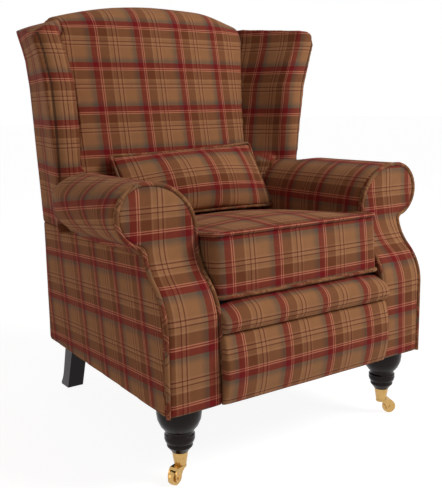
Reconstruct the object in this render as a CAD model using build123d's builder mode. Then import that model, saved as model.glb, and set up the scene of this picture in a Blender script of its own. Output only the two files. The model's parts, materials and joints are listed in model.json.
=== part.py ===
from build123d import *
import math
import os

os.makedirs("parts", exist_ok=True)

# Fireside wing chair. Millimetres, +Z up, the chair faces -Y and +X is its right
# side as seen from in front. The origin is on the floor, under the middle of the chair.

# ------------------------------------------------------------------ driving sizes
# Seat box and sides
underside_z = 166.0          # underside of the upholstered body above the floor
cover_t = 2.0                # black cloth tacked under the seat
arm_front_y = -360.0         # front face of the arm facings
facing_t = 14.0              # padded facing on the arm front
board_t = 28.0               # beech rails and boards
rear_y = 320.0               # outside back at seat level
corner_r = 65.0              # rear corner in plan
panel_t = 10.0               # outside arm panel
back_panel_t = 6.0           # outside back panel
side_rail_h = 90.0           # height of the side seat rails

# Arms
arm_inner_x = 228.0          # inside arm face
arm_foot_inner_x = 218.0     # inner edge of the facing at its foot
arm_foot_taper_z = 400.0     # height where the facing's inner edge turns plumb
arm_top_z = 612.0
scroll_r = 64.0              # outward roll of the arm
crest_r = 107.0              # curve from the inside arm up to the crest
crest_flat = 8.0             # level part between the crest curve and the roll
arm_panel_out = 8.0          # outside arm at the front, beyond the middle of the roll
roll_fillet = 14.0           # tuck under the roll
arm_rail_top_z = 470.0       # top of the arm rail, where the roll's padding starts
arm_rail_h = 32.0
arm_rail_w = 56.0
arm_wall = 40.0              # padding on the inside arm
arm_wall_bottom_z = 300.0
arm_board_inset = 16.0       # arm front board inside the padding
roll_end_y = -38.0           # the roll starts to close in here
arm_rear_y = 130.0           # the roll has closed in here
roll_end_x = 338.0
ogee_start_z = 335.0         # arm front is plumb below this
ogee_end_z = 500.0
ogee_setback = 75.0          # how far the scroll stands back from the arm's foot

# Front border and lip of the seat
border_side_y = -370.0
border_bulge_y = -385.0
lip_seam_z = 312.0
lip_bulge_y = -383.0
lip_rear_y = -332.0
lip_nose_drop = 9.0

# Deck, springs and cushion
deck_z = 374.3               # deck top at the lip's rear edge
deck_slope_deg = 4.8
deck_t = 36.0
spring_wire = 3.6
spring_gap = 2.4             # spring below the deck at rest
spring_width = 78.0
spring_turn_r = 29.0
spring_count = 4
spring_pitch_x = 112.0
clip_base = 4.0
clip_wall = 1.5
clip_w = 30.0
clip_fit = 0.1               # clip round the spring's end bar
clip_end_gap = 2.0           # from the clip's end to the spring's turn
cushion_front_y = -351.0
cushion_rear_gap = 42.0      # between the cushion and the foot of the back
cushion_side_gap = 7.5       # between the cushion's welt line and the inside arm
cushion_edge_h = 130.0
cushion_edge_rise = 1.0      # the top leaves the welt this much above it
cushion_crown = 20.0
cushion_side_bulge = 3.0
cushion_corner_r = 18.0
piping_r = 4.5
welt_fit = 0.2               # loose cushion inside its welt
soft_gap = 0.3               # loose cushions lie this far off what they rest on

# Back
lean_start_z = 450.0         # the back is plumb below this
lean_deg = 7.2
upright_inner_x = 218.0
upright_w = 44.0
upright_d = 54.0
upright_drop = 88.0          # top of the uprights below the top of the back
back_top_z = 1008.0          # middle of the arched top
arch_half_w = 258.0
arch_drop = 32.0             # the arch falls this much over its half width
back_foot_y = 115.0          # inside back at the deck
back_waist_y = 120.0         # inside back at the waist
back_waist_z = 480.0
back_rake_deg = 10.8         # inside back above the waist
back_roll_r = 72.0           # roll over the top of the inside back
back_crown = 22.0            # the sides stand back from the middle by this
back_panel_drop = 43.0       # top of the outside back below the top of the back
back_panel_lap = 3.0         # the inside back's cover ends this far behind the outside back
top_rail_drop = 58.0
top_rail_h = 60.0
cross_rail_z = 380.0
cross_rail_h = 70.0
webbing_t = 3.0
webbing_w = 50.0
webbing_count = 4
webbing_pitch = 100.0
webbing_lap = 35.0           # webbing tacked over the top rail's front
webbing_bottom_z = 400.0

# Wings
wing_front_y = 95.0
wing_bulge = 9.0
wing_drop = 47.0             # the wing meets the back this far below its top
wing_fall = 15.0             # the wing's top falls by this from the back to its shoulder
wing_shoulder_out = 31.0     # the top rounds over from here, beyond the middle of the roll
wing_shoulder_r = 34.0
wing_narrow_z = 600.0        # up to here the wing keeps its width
wing_waist_z = 700.0
wing_tuck_z = 575.0          # the wing's padding tucks in beside the arm from here
junction_bottom_z = 612.0    # the seam between back and wing leans out above this
junction_top_x = 273.0
junction_bow = 7.0           # the seam hangs inside a straight line by this
wing_board_t = 22.0
wing_board_drop = 101.0      # top of the wing board below the top of the wing
wing_board_inset = 19.0      # front of the wing board inside the middle of the roll
wing_board_front_y = 110.0
wing_board_rear_y = 259.0

# Front legs and castors
leg_x = 291.0
leg_y = -302.0
leg_top_r = 43.0
leg_bulb_r = 46.5
leg_bulb_z = 150.0
leg_collar_r = 34.5          # where the bulb runs out into the neck
leg_collar_z = 117.75
leg_neck_r = 28.5
leg_neck_z = 107.0
leg_ring_r = 31.0
leg_ring_z = 95.0
leg_waist_r = 25.5
leg_waist_z = 83.0
leg_foot_r = 24.8
leg_foot_z = 75.0
leg_toe_z = 65.0
cup_top_r = 16.8
cup_bottom_r = 12.4
cup_wall = 1.6
cup_bottom_z = 37.0
cup_floor = 3.0
block_w = 62.0
block_h = 40.0
bolt_r = 4.0
bolt_bottom_z = 100.0
bolt_fit = 0.1
tee_nut_r = 11.0
tee_nut_t = 2.0
swivel_pin_r = 4.0
swivel_head_r = 6.0
swivel_head_t = 2.5
running_fit = 0.05
wheel_r = 16.0
wheel_w = 13.0
wheel_crown = 1.0
castor_trail = 20.5
castor_turn_deg = 203.0      # the left castor trails this way, measured from +X
horn_plate_r = 12.6
horn_plate_t = 4.6
horn_arm_t = 3.6
horn_gap = 0.5               # each side of the wheel
horn_eye_r = 9.5
horn_root = 6.3              # the arms leave the plate this far ahead of the swivel
horn_bow_out = 7.1           # highest part of the arms, past the axle and above it
horn_bow_up = 12.8
horn_throat_in = 7.1         # middle of the arms' lower edge behind the swivel
horn_top_gap = 0.4           # between cup and horn
axle_r = 2.5
axle_head_r = 4.2
axle_head_t = 1.6

# Rear legs, the dark lower ends of the back uprights
rear_leg_front_y = 268.0
rear_foot_front_y = 325.0
rear_ankle_y = 349.0
rear_ankle_z = 42.0
rear_foot_rear_y = 368.0
rear_foot_edge_z = 6.0

# Loose lumbar cushion
lumbar_x = 15.0
lumbar_half_w = 208.0
lumbar_h = 172.0
lumbar_corner_extra = 6.0    # each corner stands out from the middle by this
lumbar_front = 52.0          # fullness in front of the welt
lumbar_rear = 26.0           # fullness behind it
lumbar_edge = 5.0            # half thickness at the ends
lumbar_rim = 2.0             # half thickness at the welt
lumbar_tilt_deg = 24.0
lumbar_y = 106.0             # middle of the welt
lumbar_z = 571.0
lumbar_piping_r = 3.6
lumbar_corner_r = 9.0
lumbar_waist = 7.0
lumbar_mid_share = 0.55      # station between the middle and each end

reach = 900.0                # longer than the chair, for cutting shapes

# ------------------------------------------------------------------ worked out sizes
lean = math.tan(math.radians(lean_deg))
slope = math.tan(math.radians(deck_slope_deg))
rake = math.tan(math.radians(back_rake_deg))
rail_bottom_z = underside_z + cover_t
rail_front_y = arm_front_y + facing_t
corner_y = rear_y - corner_r
upright_outer_x = upright_inner_x + upright_w
upright_rear_y = rear_y - back_panel_t
upright_front_y = upright_rear_y - upright_d
upright_top_z = back_top_z - upright_drop
side_rear_x = upright_outer_x + corner_r
cushion_depth = back_foot_y - cushion_rear_gap - cushion_front_y
cushion_half_w = arm_inner_x - cushion_side_gap
back_panel_top_z = back_top_z - back_panel_drop
top_rail_top_z = back_top_z - top_rail_drop
top_rail_bottom_z = top_rail_top_z - top_rail_h
webbing_top_z = top_rail_bottom_z + webbing_lap
junction_top_z = back_top_z - wing_drop
wing_board_top_z = junction_top_z - wing_board_drop
crest_x = arm_inner_x + crest_r
crest_z = arm_top_z - crest_r
scroll_x = crest_x + crest_flat
arm_outer_x = scroll_x + arm_panel_out
wing_shoulder_x = scroll_x + wing_shoulder_out
wing_board_front_x = scroll_x - wing_board_inset
scroll_z = arm_top_z - scroll_r
ogee_mid_z = (ogee_start_z + ogee_end_z) / 2
arm_rail_inner_x = arm_inner_x + arm_wall
arm_rail_bottom_z = arm_rail_top_z - arm_rail_h


def side_x(y):
    """Outside arm, which draws in a little from front to rear."""
    share = (y - rail_front_y) / (corner_y - rail_front_y)
    return arm_outer_x + (side_rear_x - arm_outer_x) * share


def lean_y(z):
    """How far the back has leaned back at a height."""
    return max(0.0, z - lean_start_z) * lean


def deck_top(y):
    return deck_z - slope * (y - lip_rear_y)


def deck_bottom(y):
    return deck_top(y) - deck_t


def wire_z(y):
    return deck_bottom(y) - spring_gap - spring_wire / 2


def arch(x):
    return arch_drop * (x / arch_half_w) ** 2


def seam_outline():
    """The half of the back inside its seam with the right wing, from in front. X across, Z up."""
    chord_x = junction_top_x - arm_inner_x
    chord_z = junction_top_z - junction_bottom_z
    chord = math.hypot(chord_x, chord_z)
    seam_mid = (
        arm_inner_x + chord_x / 2 - junction_bow * chord_z / chord,
        junction_bottom_z + chord_z / 2 + junction_bow * chord_x / chord,
    )
    with BuildSketch() as inside:
        with BuildLine():
            Polyline((0, 0), (arm_inner_x, 0), (arm_inner_x, junction_bottom_z))
            ThreePointArc((arm_inner_x, junction_bottom_z), seam_mid, (junction_top_x, junction_top_z))
            Polyline((junction_top_x, junction_top_z), (junction_top_x, 2 * reach), (0, 2 * reach), (0, 0))
        make_face()
    return inside.sketch


front_clip_y = lip_rear_y + spring_wire
rear_clip_y = upright_front_y - board_t / 2
front_rail_top_z = wire_z(front_clip_y) - spring_wire / 2 - clip_base
rear_rail_top_z = wire_z(rear_clip_y) - spring_wire / 2 - clip_base


def front_band(shift, depth):
    """Side profile of the arm front: plumb, an ogee set back, then plumb. Y across, Z up."""
    near = arm_front_y + shift
    far = near + depth
    half = ogee_setback / 2
    with BuildSketch() as band:
        with BuildLine():
            foot = Line((near, 0), (near, ogee_start_z))
            low = TangentArc(foot @ 1, (near + half, ogee_mid_z), tangent=(0, 1))
            high = TangentArc(low @ 1, (near + 2 * half, ogee_end_z), tangent=low % 1)
            top = Polyline(high @ 1, (near + 2 * half, reach), (far + 2 * half, reach), (far + 2 * half, ogee_end_z))
            back_high = TangentArc(top @ 1, (far + half, ogee_mid_z), tangent=(0, -1))
            back_low = TangentArc(back_high @ 1, (far, ogee_start_z), tangent=back_high % 1)
            Polyline(back_low @ 1, (far, 0), (near, 0))
        make_face()
    return band.sketch


def arm_outline():
    """Front outline of an arm with its outward roll, run down to the floor. X across, Z up."""
    bottom_z = 0.0
    with BuildSketch() as outline:
        with BuildLine():
            inner = Polyline(
                (arm_foot_inner_x, bottom_z),
                (arm_foot_inner_x, underside_z),
                (arm_inner_x, arm_foot_taper_z),
                (arm_inner_x, crest_z),
            )
            crest = TangentArc(inner @ 1, (crest_x, arm_top_z), tangent=(0, 1))
            level = Line(crest @ 1, (scroll_x, arm_top_z))
            roll = CenterArc((scroll_x, scroll_z), scroll_r, 90, -180)
            under = Line(roll @ 1, (scroll_x - scroll_r / 2, scroll_z - scroll_r))
            Polyline(under @ 1, (scroll_x - scroll_r / 2, bottom_z), (arm_foot_inner_x, bottom_z))
        make_face()
        with BuildLine():
            Polyline(
                (scroll_x - scroll_r, bottom_z),
                (arm_outer_x, bottom_z),
                (arm_outer_x, scroll_z),
                (scroll_x - scroll_r, scroll_z),
                (scroll_x - scroll_r, bottom_z),
            )
        make_face()
        tuck = outline.vertices().filter_by_position(Axis.X, arm_outer_x - 1, arm_outer_x + 1)
        tuck = tuck.filter_by_position(Axis.Y, scroll_z - scroll_r, scroll_z - 1)
        fillet(tuck, radius=roll_fillet)
    return outline.sketch


long_outline = arm_outline()
with BuildSketch() as body_outline:
    add(long_outline)
    with Locations((0, underside_z)):
        Rectangle(reach, reach, align=(Align.MIN, Align.MIN), mode=Mode.INTERSECT)
outline = body_outline.sketch

# ------------------------------------------------------------------ seat frame
rail_half = side_x(rail_front_y + board_t) - panel_t
with BuildPart() as front_seat_rail:
    with BuildSketch(Plane.XY.offset(rail_bottom_z)):
        with Locations((0, rail_front_y + board_t / 2)):
            Rectangle(2 * rail_half, board_t)
    extrude(amount=front_rail_top_z - rail_bottom_z)

rear_half = side_x(upright_front_y) - panel_t - board_t
with BuildPart() as rear_seat_rail:
    with BuildSketch(Plane.XY.offset(rail_bottom_z)):
        with Locations((0, upright_front_y - board_t / 2)):
            Rectangle(2 * rear_half, board_t)
    extrude(amount=rear_rail_top_z - rail_bottom_z)

side_front_y = rail_front_y + board_t
with BuildPart() as right_seat_rail:
    with BuildSketch(Plane.XY.offset(rail_bottom_z)):
        with BuildLine():
            Polyline(
                (side_x(side_front_y) - panel_t, side_front_y),
                (side_x(upright_front_y) - panel_t, upright_front_y),
                (side_x(upright_front_y) - panel_t - board_t, upright_front_y),
                (side_x(side_front_y) - panel_t - board_t, side_front_y),
                close=True,
            )
        make_face()
    extrude(amount=side_rail_h)

# Front corner block: takes the leg's bolt, with a bevelled inner corner
block_x = side_x(side_front_y) - panel_t - board_t
with BuildPart() as right_corner_block:
    with BuildSketch(Plane.XY.offset(rail_bottom_z)):
        with BuildLine():
            Polyline(
                (side_x(side_front_y + block_w) - panel_t - board_t, side_front_y + block_w),
                (block_x, side_front_y),
                (block_x - block_w, side_front_y),
                (block_x - block_w, side_front_y + block_w / 2),
                (block_x - block_w / 2, side_front_y + block_w),
                close=True,
            )
        make_face()
    extrude(amount=block_h)
    with Locations((leg_x, leg_y, rail_bottom_z + block_h)):
        Hole(radius=bolt_r + bolt_fit)

# ------------------------------------------------------------------ back frame
with BuildPart() as right_back_upright:
    with BuildSketch(Plane.YZ.offset(upright_inner_x)):
        with BuildLine():
            front = Polyline(
                (rear_foot_rear_y, 0),
                (rear_foot_front_y, 0),
                (rear_leg_front_y, rail_bottom_z),
                (upright_front_y, rail_bottom_z),
                (upright_front_y, lean_start_z),
                (upright_front_y + lean_y(upright_top_z), upright_top_z),
                (upright_rear_y + lean_y(upright_top_z), upright_top_z),
                (upright_rear_y, lean_start_z),
                (upright_rear_y, underside_z),
                (rear_ankle_y, rear_ankle_z),
            )
            flare = TangentArc(
                front @ 1,
                (rear_foot_rear_y, rear_foot_edge_z),
                tangent=(rear_ankle_y - upright_rear_y, rear_ankle_z - underside_z),
            )
            Line(flare @ 1, (rear_foot_rear_y, 0))
        make_face()
    extrude(amount=upright_w)

arch_side_z = top_rail_top_z - arch(upright_inner_x)
with BuildPart() as back_top_rail:
    with BuildSketch(Plane.YZ):
        with BuildLine():
            Polyline(
                (upright_front_y + lean_y(top_rail_bottom_z), top_rail_bottom_z),
                (upright_front_y + lean_y(top_rail_top_z), top_rail_top_z),
                (upright_front_y + lean_y(top_rail_top_z) + board_t, top_rail_top_z),
                (upright_front_y + lean_y(top_rail_bottom_z) + board_t, top_rail_bottom_z),
                close=True,
            )
        make_face()
    extrude(amount=upright_inner_x, both=True)
    with BuildSketch(Plane.XZ):
        with BuildLine():
            ThreePointArc((-upright_inner_x, arch_side_z), (0, top_rail_top_z), (upright_inner_x, arch_side_z))
            Polyline(
                (upright_inner_x, arch_side_z),
                (upright_inner_x, 0),
                (-upright_inner_x, 0),
                (-upright_inner_x, arch_side_z),
            )
        make_face()
    extrude(amount=reach, both=True, mode=Mode.INTERSECT)

with BuildPart() as back_cross_rail:
    with BuildSketch(Plane.XY.offset(cross_rail_z)):
        with Locations((0, upright_front_y + board_t / 2)):
            Rectangle(2 * upright_inner_x, board_t)
    extrude(amount=cross_rail_h)

webbing_planes = [
    Plane.YZ.offset((i - (webbing_count - 1) / 2) * webbing_pitch) for i in range(webbing_count)
]
with BuildPart() as back_webbing:
    with BuildSketch(*webbing_planes):
        with BuildLine():
            Polyline(
                (upright_front_y, webbing_bottom_z),
                (upright_front_y, lean_start_z),
                (upright_front_y + lean_y(webbing_top_z), webbing_top_z),
                (upright_front_y + lean_y(webbing_top_z) - webbing_t, webbing_top_z),
                (upright_front_y - webbing_t, lean_start_z),
                (upright_front_y - webbing_t, webbing_bottom_z),
                close=True,
            )
        make_face()
    extrude(amount=webbing_w / 2, both=True)

# Wing board: splayed, its rear edge against the upright and leaning with it
splay_y = wing_board_rear_y - wing_board_front_y
splay_x = wing_board_front_x - upright_outer_x
splay = math.hypot(splay_x, splay_y)
board_dx = wing_board_t * splay / splay_y
board_dy = wing_board_t * splay / splay_x
board_lean = lean_y(wing_board_top_z) - lean_y(arm_rail_top_z)
with BuildPart() as right_wing_frame:
    with BuildSketch(Plane.XY.offset(arm_rail_top_z)):
        with BuildLine():
            Polyline(
                (wing_board_front_x, wing_board_front_y),
                (wing_board_front_x + board_dx, wing_board_front_y),
                (upright_outer_x, wing_board_rear_y + board_dy),
                (upright_outer_x, wing_board_rear_y),
                close=True,
            )
        make_face()
    with BuildSketch(Plane.XY.offset(wing_board_top_z)):
        with BuildLine():
            Polyline(
                (wing_board_front_x, wing_board_front_y),
                (wing_board_front_x + board_dx, wing_board_front_y),
                (upright_outer_x, wing_board_rear_y + board_dy + board_lean),
                (upright_outer_x, wing_board_rear_y + board_lean),
                close=True,
            )
        make_face()
    loft(ruled=True)

# ------------------------------------------------------------------ arm frame
with BuildPart() as right_arm_front_board:
    with BuildSketch(Plane.XZ):
        offset(outline, amount=-arm_board_inset)
    extrude(amount=reach, both=True)
    with BuildSketch(Plane.YZ):
        add(front_band(facing_t, board_t))
    extrude(amount=reach, mode=Mode.INTERSECT)
    with BuildSketch(Plane.XY.offset(front_rail_top_z)):
        Rectangle(2 * reach, 2 * reach)
    extrude(amount=-reach, mode=Mode.SUBTRACT)

arm_rail_front_y = arm_front_y + facing_t + board_t + ogee_setback
with BuildPart() as right_arm_rail:
    with BuildSketch(Plane.XY.offset(arm_rail_bottom_z)):
        with BuildLine():
            Polyline(
                (arm_rail_inner_x, arm_rail_front_y),
                (arm_rail_inner_x + arm_rail_w, arm_rail_front_y),
                (side_x(upright_front_y) - panel_t, upright_front_y),
                (upright_outer_x + board_t, upright_front_y),
                (upright_outer_x + board_t, upright_front_y + board_t),
                (upright_outer_x, upright_front_y + board_t),
                (upright_outer_x, upright_front_y),
                (arm_rail_inner_x, upright_front_y),
                close=True,
            )
        make_face()
    extrude(amount=arm_rail_h)
    with BuildSketch(Plane.YZ):
        add(front_band(facing_t + board_t, reach))
    extrude(amount=reach, mode=Mode.INTERSECT)

# ------------------------------------------------------------------ springs and clips
turns = int((rear_clip_y - front_clip_y) / (2 * spring_turn_r))
turn_r = (rear_clip_y - front_clip_y) / (2 * turns) / math.cos(math.radians(deck_slope_deg))
bar = spring_width / 2 - turn_r
spring_plane = Plane(
    origin=(0, front_clip_y, wire_z(front_clip_y)),
    x_dir=(1, 0, 0),
    z_dir=(0, math.sin(math.radians(deck_slope_deg)), math.cos(math.radians(deck_slope_deg))),
)
spring_xs = [(i - (spring_count - 1) / 2) * spring_pitch_x for i in range(spring_count)]


def spring_path(x0):
    """Zigzag spring: cross bars joined by half turns, from rail to rail."""
    with BuildLine(spring_plane) as path:
        side = 1
        Line((x0 - bar, 0), (x0 + bar, 0))
        for turn in range(turns):
            start_v = turn * 2 * turn_r
            tip = (x0 + side * (bar + turn_r), start_v + turn_r)
            ThreePointArc((x0 + side * bar, start_v), tip, (x0 + side * bar, start_v + 2 * turn_r))
            Line((x0 + side * bar, start_v + 2 * turn_r), (x0 - side * bar, start_v + 2 * turn_r))
            side = -side
    return path.wire()


spring_paths = [spring_path(x0) for x0 in spring_xs]
with BuildPart() as seat_springs:
    for path in spring_paths:
        with BuildSketch(Plane(origin=path @ 0, z_dir=path % 0)):
            RegularPolygon(radius=spring_wire / 2, side_count=4)
        sweep(path=path)

clip_h = clip_base + spring_wire + clip_fit + clip_wall
slot_h = spring_wire + 2 * clip_fit
with BuildPart() as spring_clips:
    for end_y, facing in ((front_clip_y, 1), (rear_clip_y, -1)):
        with BuildSketch(*[Plane.YZ.offset(x0) for x0 in spring_xs]):
            with Locations((end_y, wire_z(end_y) - spring_wire / 2 - clip_base + clip_h / 2)):
                Rectangle(spring_wire + 2 * clip_fit + 2 * clip_wall, clip_h)
            with Locations((end_y + facing * clip_w / 2 - facing * slot_h / 2, wire_z(end_y))):
                Rectangle(clip_w, slot_h, mode=Mode.SUBTRACT)
        extrude(amount=bar - clip_end_gap, both=True)

# ------------------------------------------------------------------ seat deck, lip, border
with BuildPart() as seat_deck:
    with BuildSketch(Plane.YZ):
        with BuildLine():
            Polyline(
                (lip_rear_y, deck_top(lip_rear_y)),
                (upright_front_y, deck_top(upright_front_y)),
                (upright_front_y, deck_bottom(upright_front_y)),
                (lip_rear_y, deck_bottom(lip_rear_y)),
                close=True,
            )
        make_face()
    extrude(amount=arm_inner_x, both=True)

with BuildPart() as right_arm_facing_piping:
    with BuildSketch(Plane.XZ):
        offset(long_outline, amount=piping_r / 2)
        offset(long_outline, amount=-3 * piping_r / 2, mode=Mode.SUBTRACT)
    extrude(amount=reach, both=True)
    with BuildSketch(Plane.YZ):
        add(front_band(-piping_r / 2, 2 * piping_r))
    extrude(amount=reach, mode=Mode.INTERSECT)
    with BuildSketch(Plane.XY.offset(underside_z)):
        Rectangle(2 * reach, 2 * reach)
    extrude(amount=-reach, mode=Mode.SUBTRACT)

with BuildPart() as right_arm_facing:
    with BuildSketch(Plane.XZ):
        add(outline)
    extrude(amount=reach, both=True)
    with BuildSketch(Plane.YZ):
        add(front_band(0, facing_t))
    extrude(amount=reach, mode=Mode.INTERSECT)
    add(right_arm_facing_piping.part, mode=Mode.SUBTRACT)

with BuildPart() as left_arm_facing_piping:
    mirror(right_arm_facing_piping.part, about=Plane.YZ)

with BuildPart() as left_arm_facing:
    mirror(right_arm_facing.part, about=Plane.YZ)

border_mid_z = (underside_z + lip_seam_z) / 2
with BuildPart() as front_border:
    with BuildSketch(Plane.YZ):
        with BuildLine():
            ThreePointArc((border_side_y, underside_z), (border_bulge_y, border_mid_z), (border_side_y, lip_seam_z))
            Polyline(
                (border_side_y, lip_seam_z),
                (rail_front_y, lip_seam_z),
                (rail_front_y, underside_z),
                (border_side_y, underside_z),
            )
        make_face()
    extrude(amount=arm_inner_x, both=True)
    add(right_arm_facing.part, mode=Mode.SUBTRACT)
    add(left_arm_facing.part, mode=Mode.SUBTRACT)
    add(right_arm_facing_piping.part, mode=Mode.SUBTRACT)
    add(left_arm_facing_piping.part, mode=Mode.SUBTRACT)

lip_nose_y = border_side_y + lip_nose_drop
lip_nose_z = deck_top(lip_nose_y) - lip_nose_drop
lip_flat_y = rail_front_y
with BuildPart() as front_lip:
    with BuildSketch(Plane.YZ):
        with BuildLine():
            front = ThreePointArc(
                (border_side_y, lip_seam_z),
                (lip_bulge_y, (lip_seam_z + lip_nose_z) / 2),
                (lip_nose_y, lip_nose_z),
            )
            nose = TangentArc(front @ 1, (lip_flat_y, deck_top(lip_flat_y)), tangent=front % 1)
            Polyline(
                nose @ 1,
                (lip_rear_y, deck_top(lip_rear_y)),
                (lip_rear_y, front_rail_top_z),
                (rail_front_y, front_rail_top_z),
                (rail_front_y, lip_seam_z),
                (border_side_y, lip_seam_z),
            )
        make_face()
    extrude(amount=arm_inner_x, both=True)
    add(right_arm_facing.part, mode=Mode.SUBTRACT)
    add(left_arm_facing.part, mode=Mode.SUBTRACT)
    add(right_arm_facing_piping.part, mode=Mode.SUBTRACT)
    add(left_arm_facing_piping.part, mode=Mode.SUBTRACT)

# ------------------------------------------------------------------ outside panels
with BuildPart() as right_outside_arm:
    with BuildSketch(Plane.XY.offset(underside_z)):
        with BuildLine():
            Line((arm_outer_x, rail_front_y), (side_rear_x, corner_y))
            turn = CenterArc((upright_outer_x, corner_y), corner_r, 0, 90)
            Line(turn @ 1, (upright_outer_x, rear_y - panel_t))
            back_turn = CenterArc((upright_outer_x, corner_y), corner_r - panel_t, 90, -90)
            Polyline(back_turn @ 1, (arm_outer_x - panel_t, rail_front_y), (arm_outer_x, rail_front_y))
        make_face()
    extrude(amount=arm_rail_top_z - underside_z)
    with BuildSketch(Plane.YZ):
        add(front_band(facing_t, reach))
    extrude(amount=reach, mode=Mode.INTERSECT)

back_panel_side_z = back_panel_top_z - arch(upright_outer_x)
with BuildPart() as outside_back:
    with BuildSketch(Plane.YZ):
        with BuildLine():
            Polyline(
                (upright_rear_y, underside_z),
                (rear_y, underside_z),
                (rear_y, lean_start_z),
                (rear_y + lean_y(back_panel_top_z), back_panel_top_z),
                (upright_rear_y + lean_y(back_panel_top_z), back_panel_top_z),
                (upright_rear_y, lean_start_z),
                close=True,
            )
        make_face()
    extrude(amount=upright_outer_x, both=True)
    with BuildSketch(Plane.XZ):
        with BuildLine():
            ThreePointArc(
                (-upright_outer_x, back_panel_side_z), (0, back_panel_top_z), (upright_outer_x, back_panel_side_z)
            )
            Polyline(
                (upright_outer_x, back_panel_side_z),
                (upright_outer_x, 0),
                (-upright_outer_x, 0),
                (-upright_outer_x, back_panel_side_z),
            )
        make_face()
    extrude(amount=reach, both=True, mode=Mode.INTERSECT)

with BuildPart() as dust_cover:
    with BuildSketch(Plane.XY.offset(underside_z)):
        with BuildLine():
            Line((side_x(rail_front_y) - panel_t, rail_front_y), (side_rear_x - panel_t, corner_y))
            corner = CenterArc((upright_outer_x, corner_y), corner_r - panel_t, 0, 90)
            Polyline(
                corner @ 1,
                (upright_outer_x, upright_rear_y),
                (0, upright_rear_y),
                (0, rail_front_y),
                (side_x(rail_front_y) - panel_t, rail_front_y),
            )
        make_face()
        mirror(about=Plane.YZ)
        with Locations((leg_x, leg_y), (-leg_x, leg_y)):
            Circle(leg_bulb_r, mode=Mode.SUBTRACT)
    extrude(amount=cover_t)
    add(right_back_upright.part, mode=Mode.SUBTRACT)
    mirror(right_back_upright.part, about=Plane.YZ, mode=Mode.SUBTRACT)

# ------------------------------------------------------------------ padding of the arms
with BuildPart() as right_arm_pad:
    with BuildSketch(Plane.XZ):
        add(outline)
    extrude(amount=reach, both=True)
    with BuildSketch(Plane.YZ):
        add(front_band(facing_t, reach))
    extrude(amount=reach, mode=Mode.INTERSECT)
    roll_x = scroll_x + scroll_r
    with BuildSketch(Plane.XY):
        with BuildLine():
            closing = TangentArc((roll_x, roll_end_y), (roll_end_x, arm_rear_y), tangent=(0, 1))
            Polyline(
                closing @ 1,
                (arm_rail_inner_x, arm_rear_y),
                (arm_rail_inner_x, upright_front_y),
                (arm_inner_x, upright_front_y),
                (arm_inner_x, -reach),
                (roll_x, -reach),
                (roll_x, roll_end_y),
            )
        make_face()
    extrude(amount=reach, mode=Mode.INTERSECT)
    with BuildSketch(Plane.XY):
        with Locations((arm_rail_inner_x, -reach)):
            Rectangle(reach, 2 * reach, align=(Align.MIN, Align.MIN))
    extrude(amount=arm_rail_top_z, mode=Mode.SUBTRACT)
    with BuildSketch(Plane.XY):
        Rectangle(2 * reach, 2 * reach)
    extrude(amount=arm_wall_bottom_z, mode=Mode.SUBTRACT)
    add(front_seat_rail.part, mode=Mode.SUBTRACT)
    add(right_arm_front_board.part, mode=Mode.SUBTRACT)
    add(right_wing_frame.part, mode=Mode.SUBTRACT)

# ------------------------------------------------------------------ padding of the back
top_angle = math.radians(back_rake_deg)
mid_angle = (math.radians(90) + top_angle) / 2


def back_front_y(z, crown):
    return back_waist_y + crown + rake * (z - back_waist_z)


with BuildPart() as inside_back:
    for x in (-junction_top_x, 0, junction_top_x):
        crown = back_crown * (x / junction_top_x) ** 2
        top_z = back_top_z - arch(x)
        start_z = top_z - back_roll_r + back_roll_r * math.sin(top_angle)
        start_y = back_front_y(start_z, crown)
        centre_y = start_y + back_roll_r * math.cos(top_angle)
        centre_z = top_z - back_roll_r
        rear_z = back_panel_top_z - arch(x) - back_panel_lap
        with BuildSketch(Plane.YZ.offset(x)):
            with BuildLine():
                front = Polyline(
                    (upright_front_y, deck_top(upright_front_y)),
                    (back_foot_y + crown, deck_top(back_foot_y + crown)),
                    (back_waist_y + crown, back_waist_z),
                    (start_y, start_z),
                )
                over = ThreePointArc(
                    front @ 1,
                    (
                        centre_y - back_roll_r * math.cos(mid_angle),
                        centre_z + back_roll_r * math.sin(mid_angle),
                    ),
                    (centre_y, top_z),
                )
                behind = TangentArc(over @ 1, (rear_y + lean_y(rear_z), rear_z), tangent=(1, 0))
                Polyline(
                    behind @ 1,
                    (rear_y + lean_y(top_rail_bottom_z), top_rail_bottom_z),
                    (upright_front_y + lean_y(top_rail_bottom_z), top_rail_bottom_z),
                    (upright_front_y, lean_start_z),
                    (upright_front_y, deck_top(upright_front_y)),
                )
            make_face()
    loft()
    with BuildSketch(Plane.XZ):
        add(seam_outline())
        mirror(about=Plane.YZ)
    extrude(amount=reach, both=True, mode=Mode.INTERSECT)
    add(back_top_rail.part, mode=Mode.SUBTRACT)
    add(back_webbing.part, mode=Mode.SUBTRACT)
    add(outside_back.part, mode=Mode.SUBTRACT)
    add(right_back_upright.part, mode=Mode.SUBTRACT)
    mirror(right_back_upright.part, about=Plane.YZ, mode=Mode.SUBTRACT)

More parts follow.
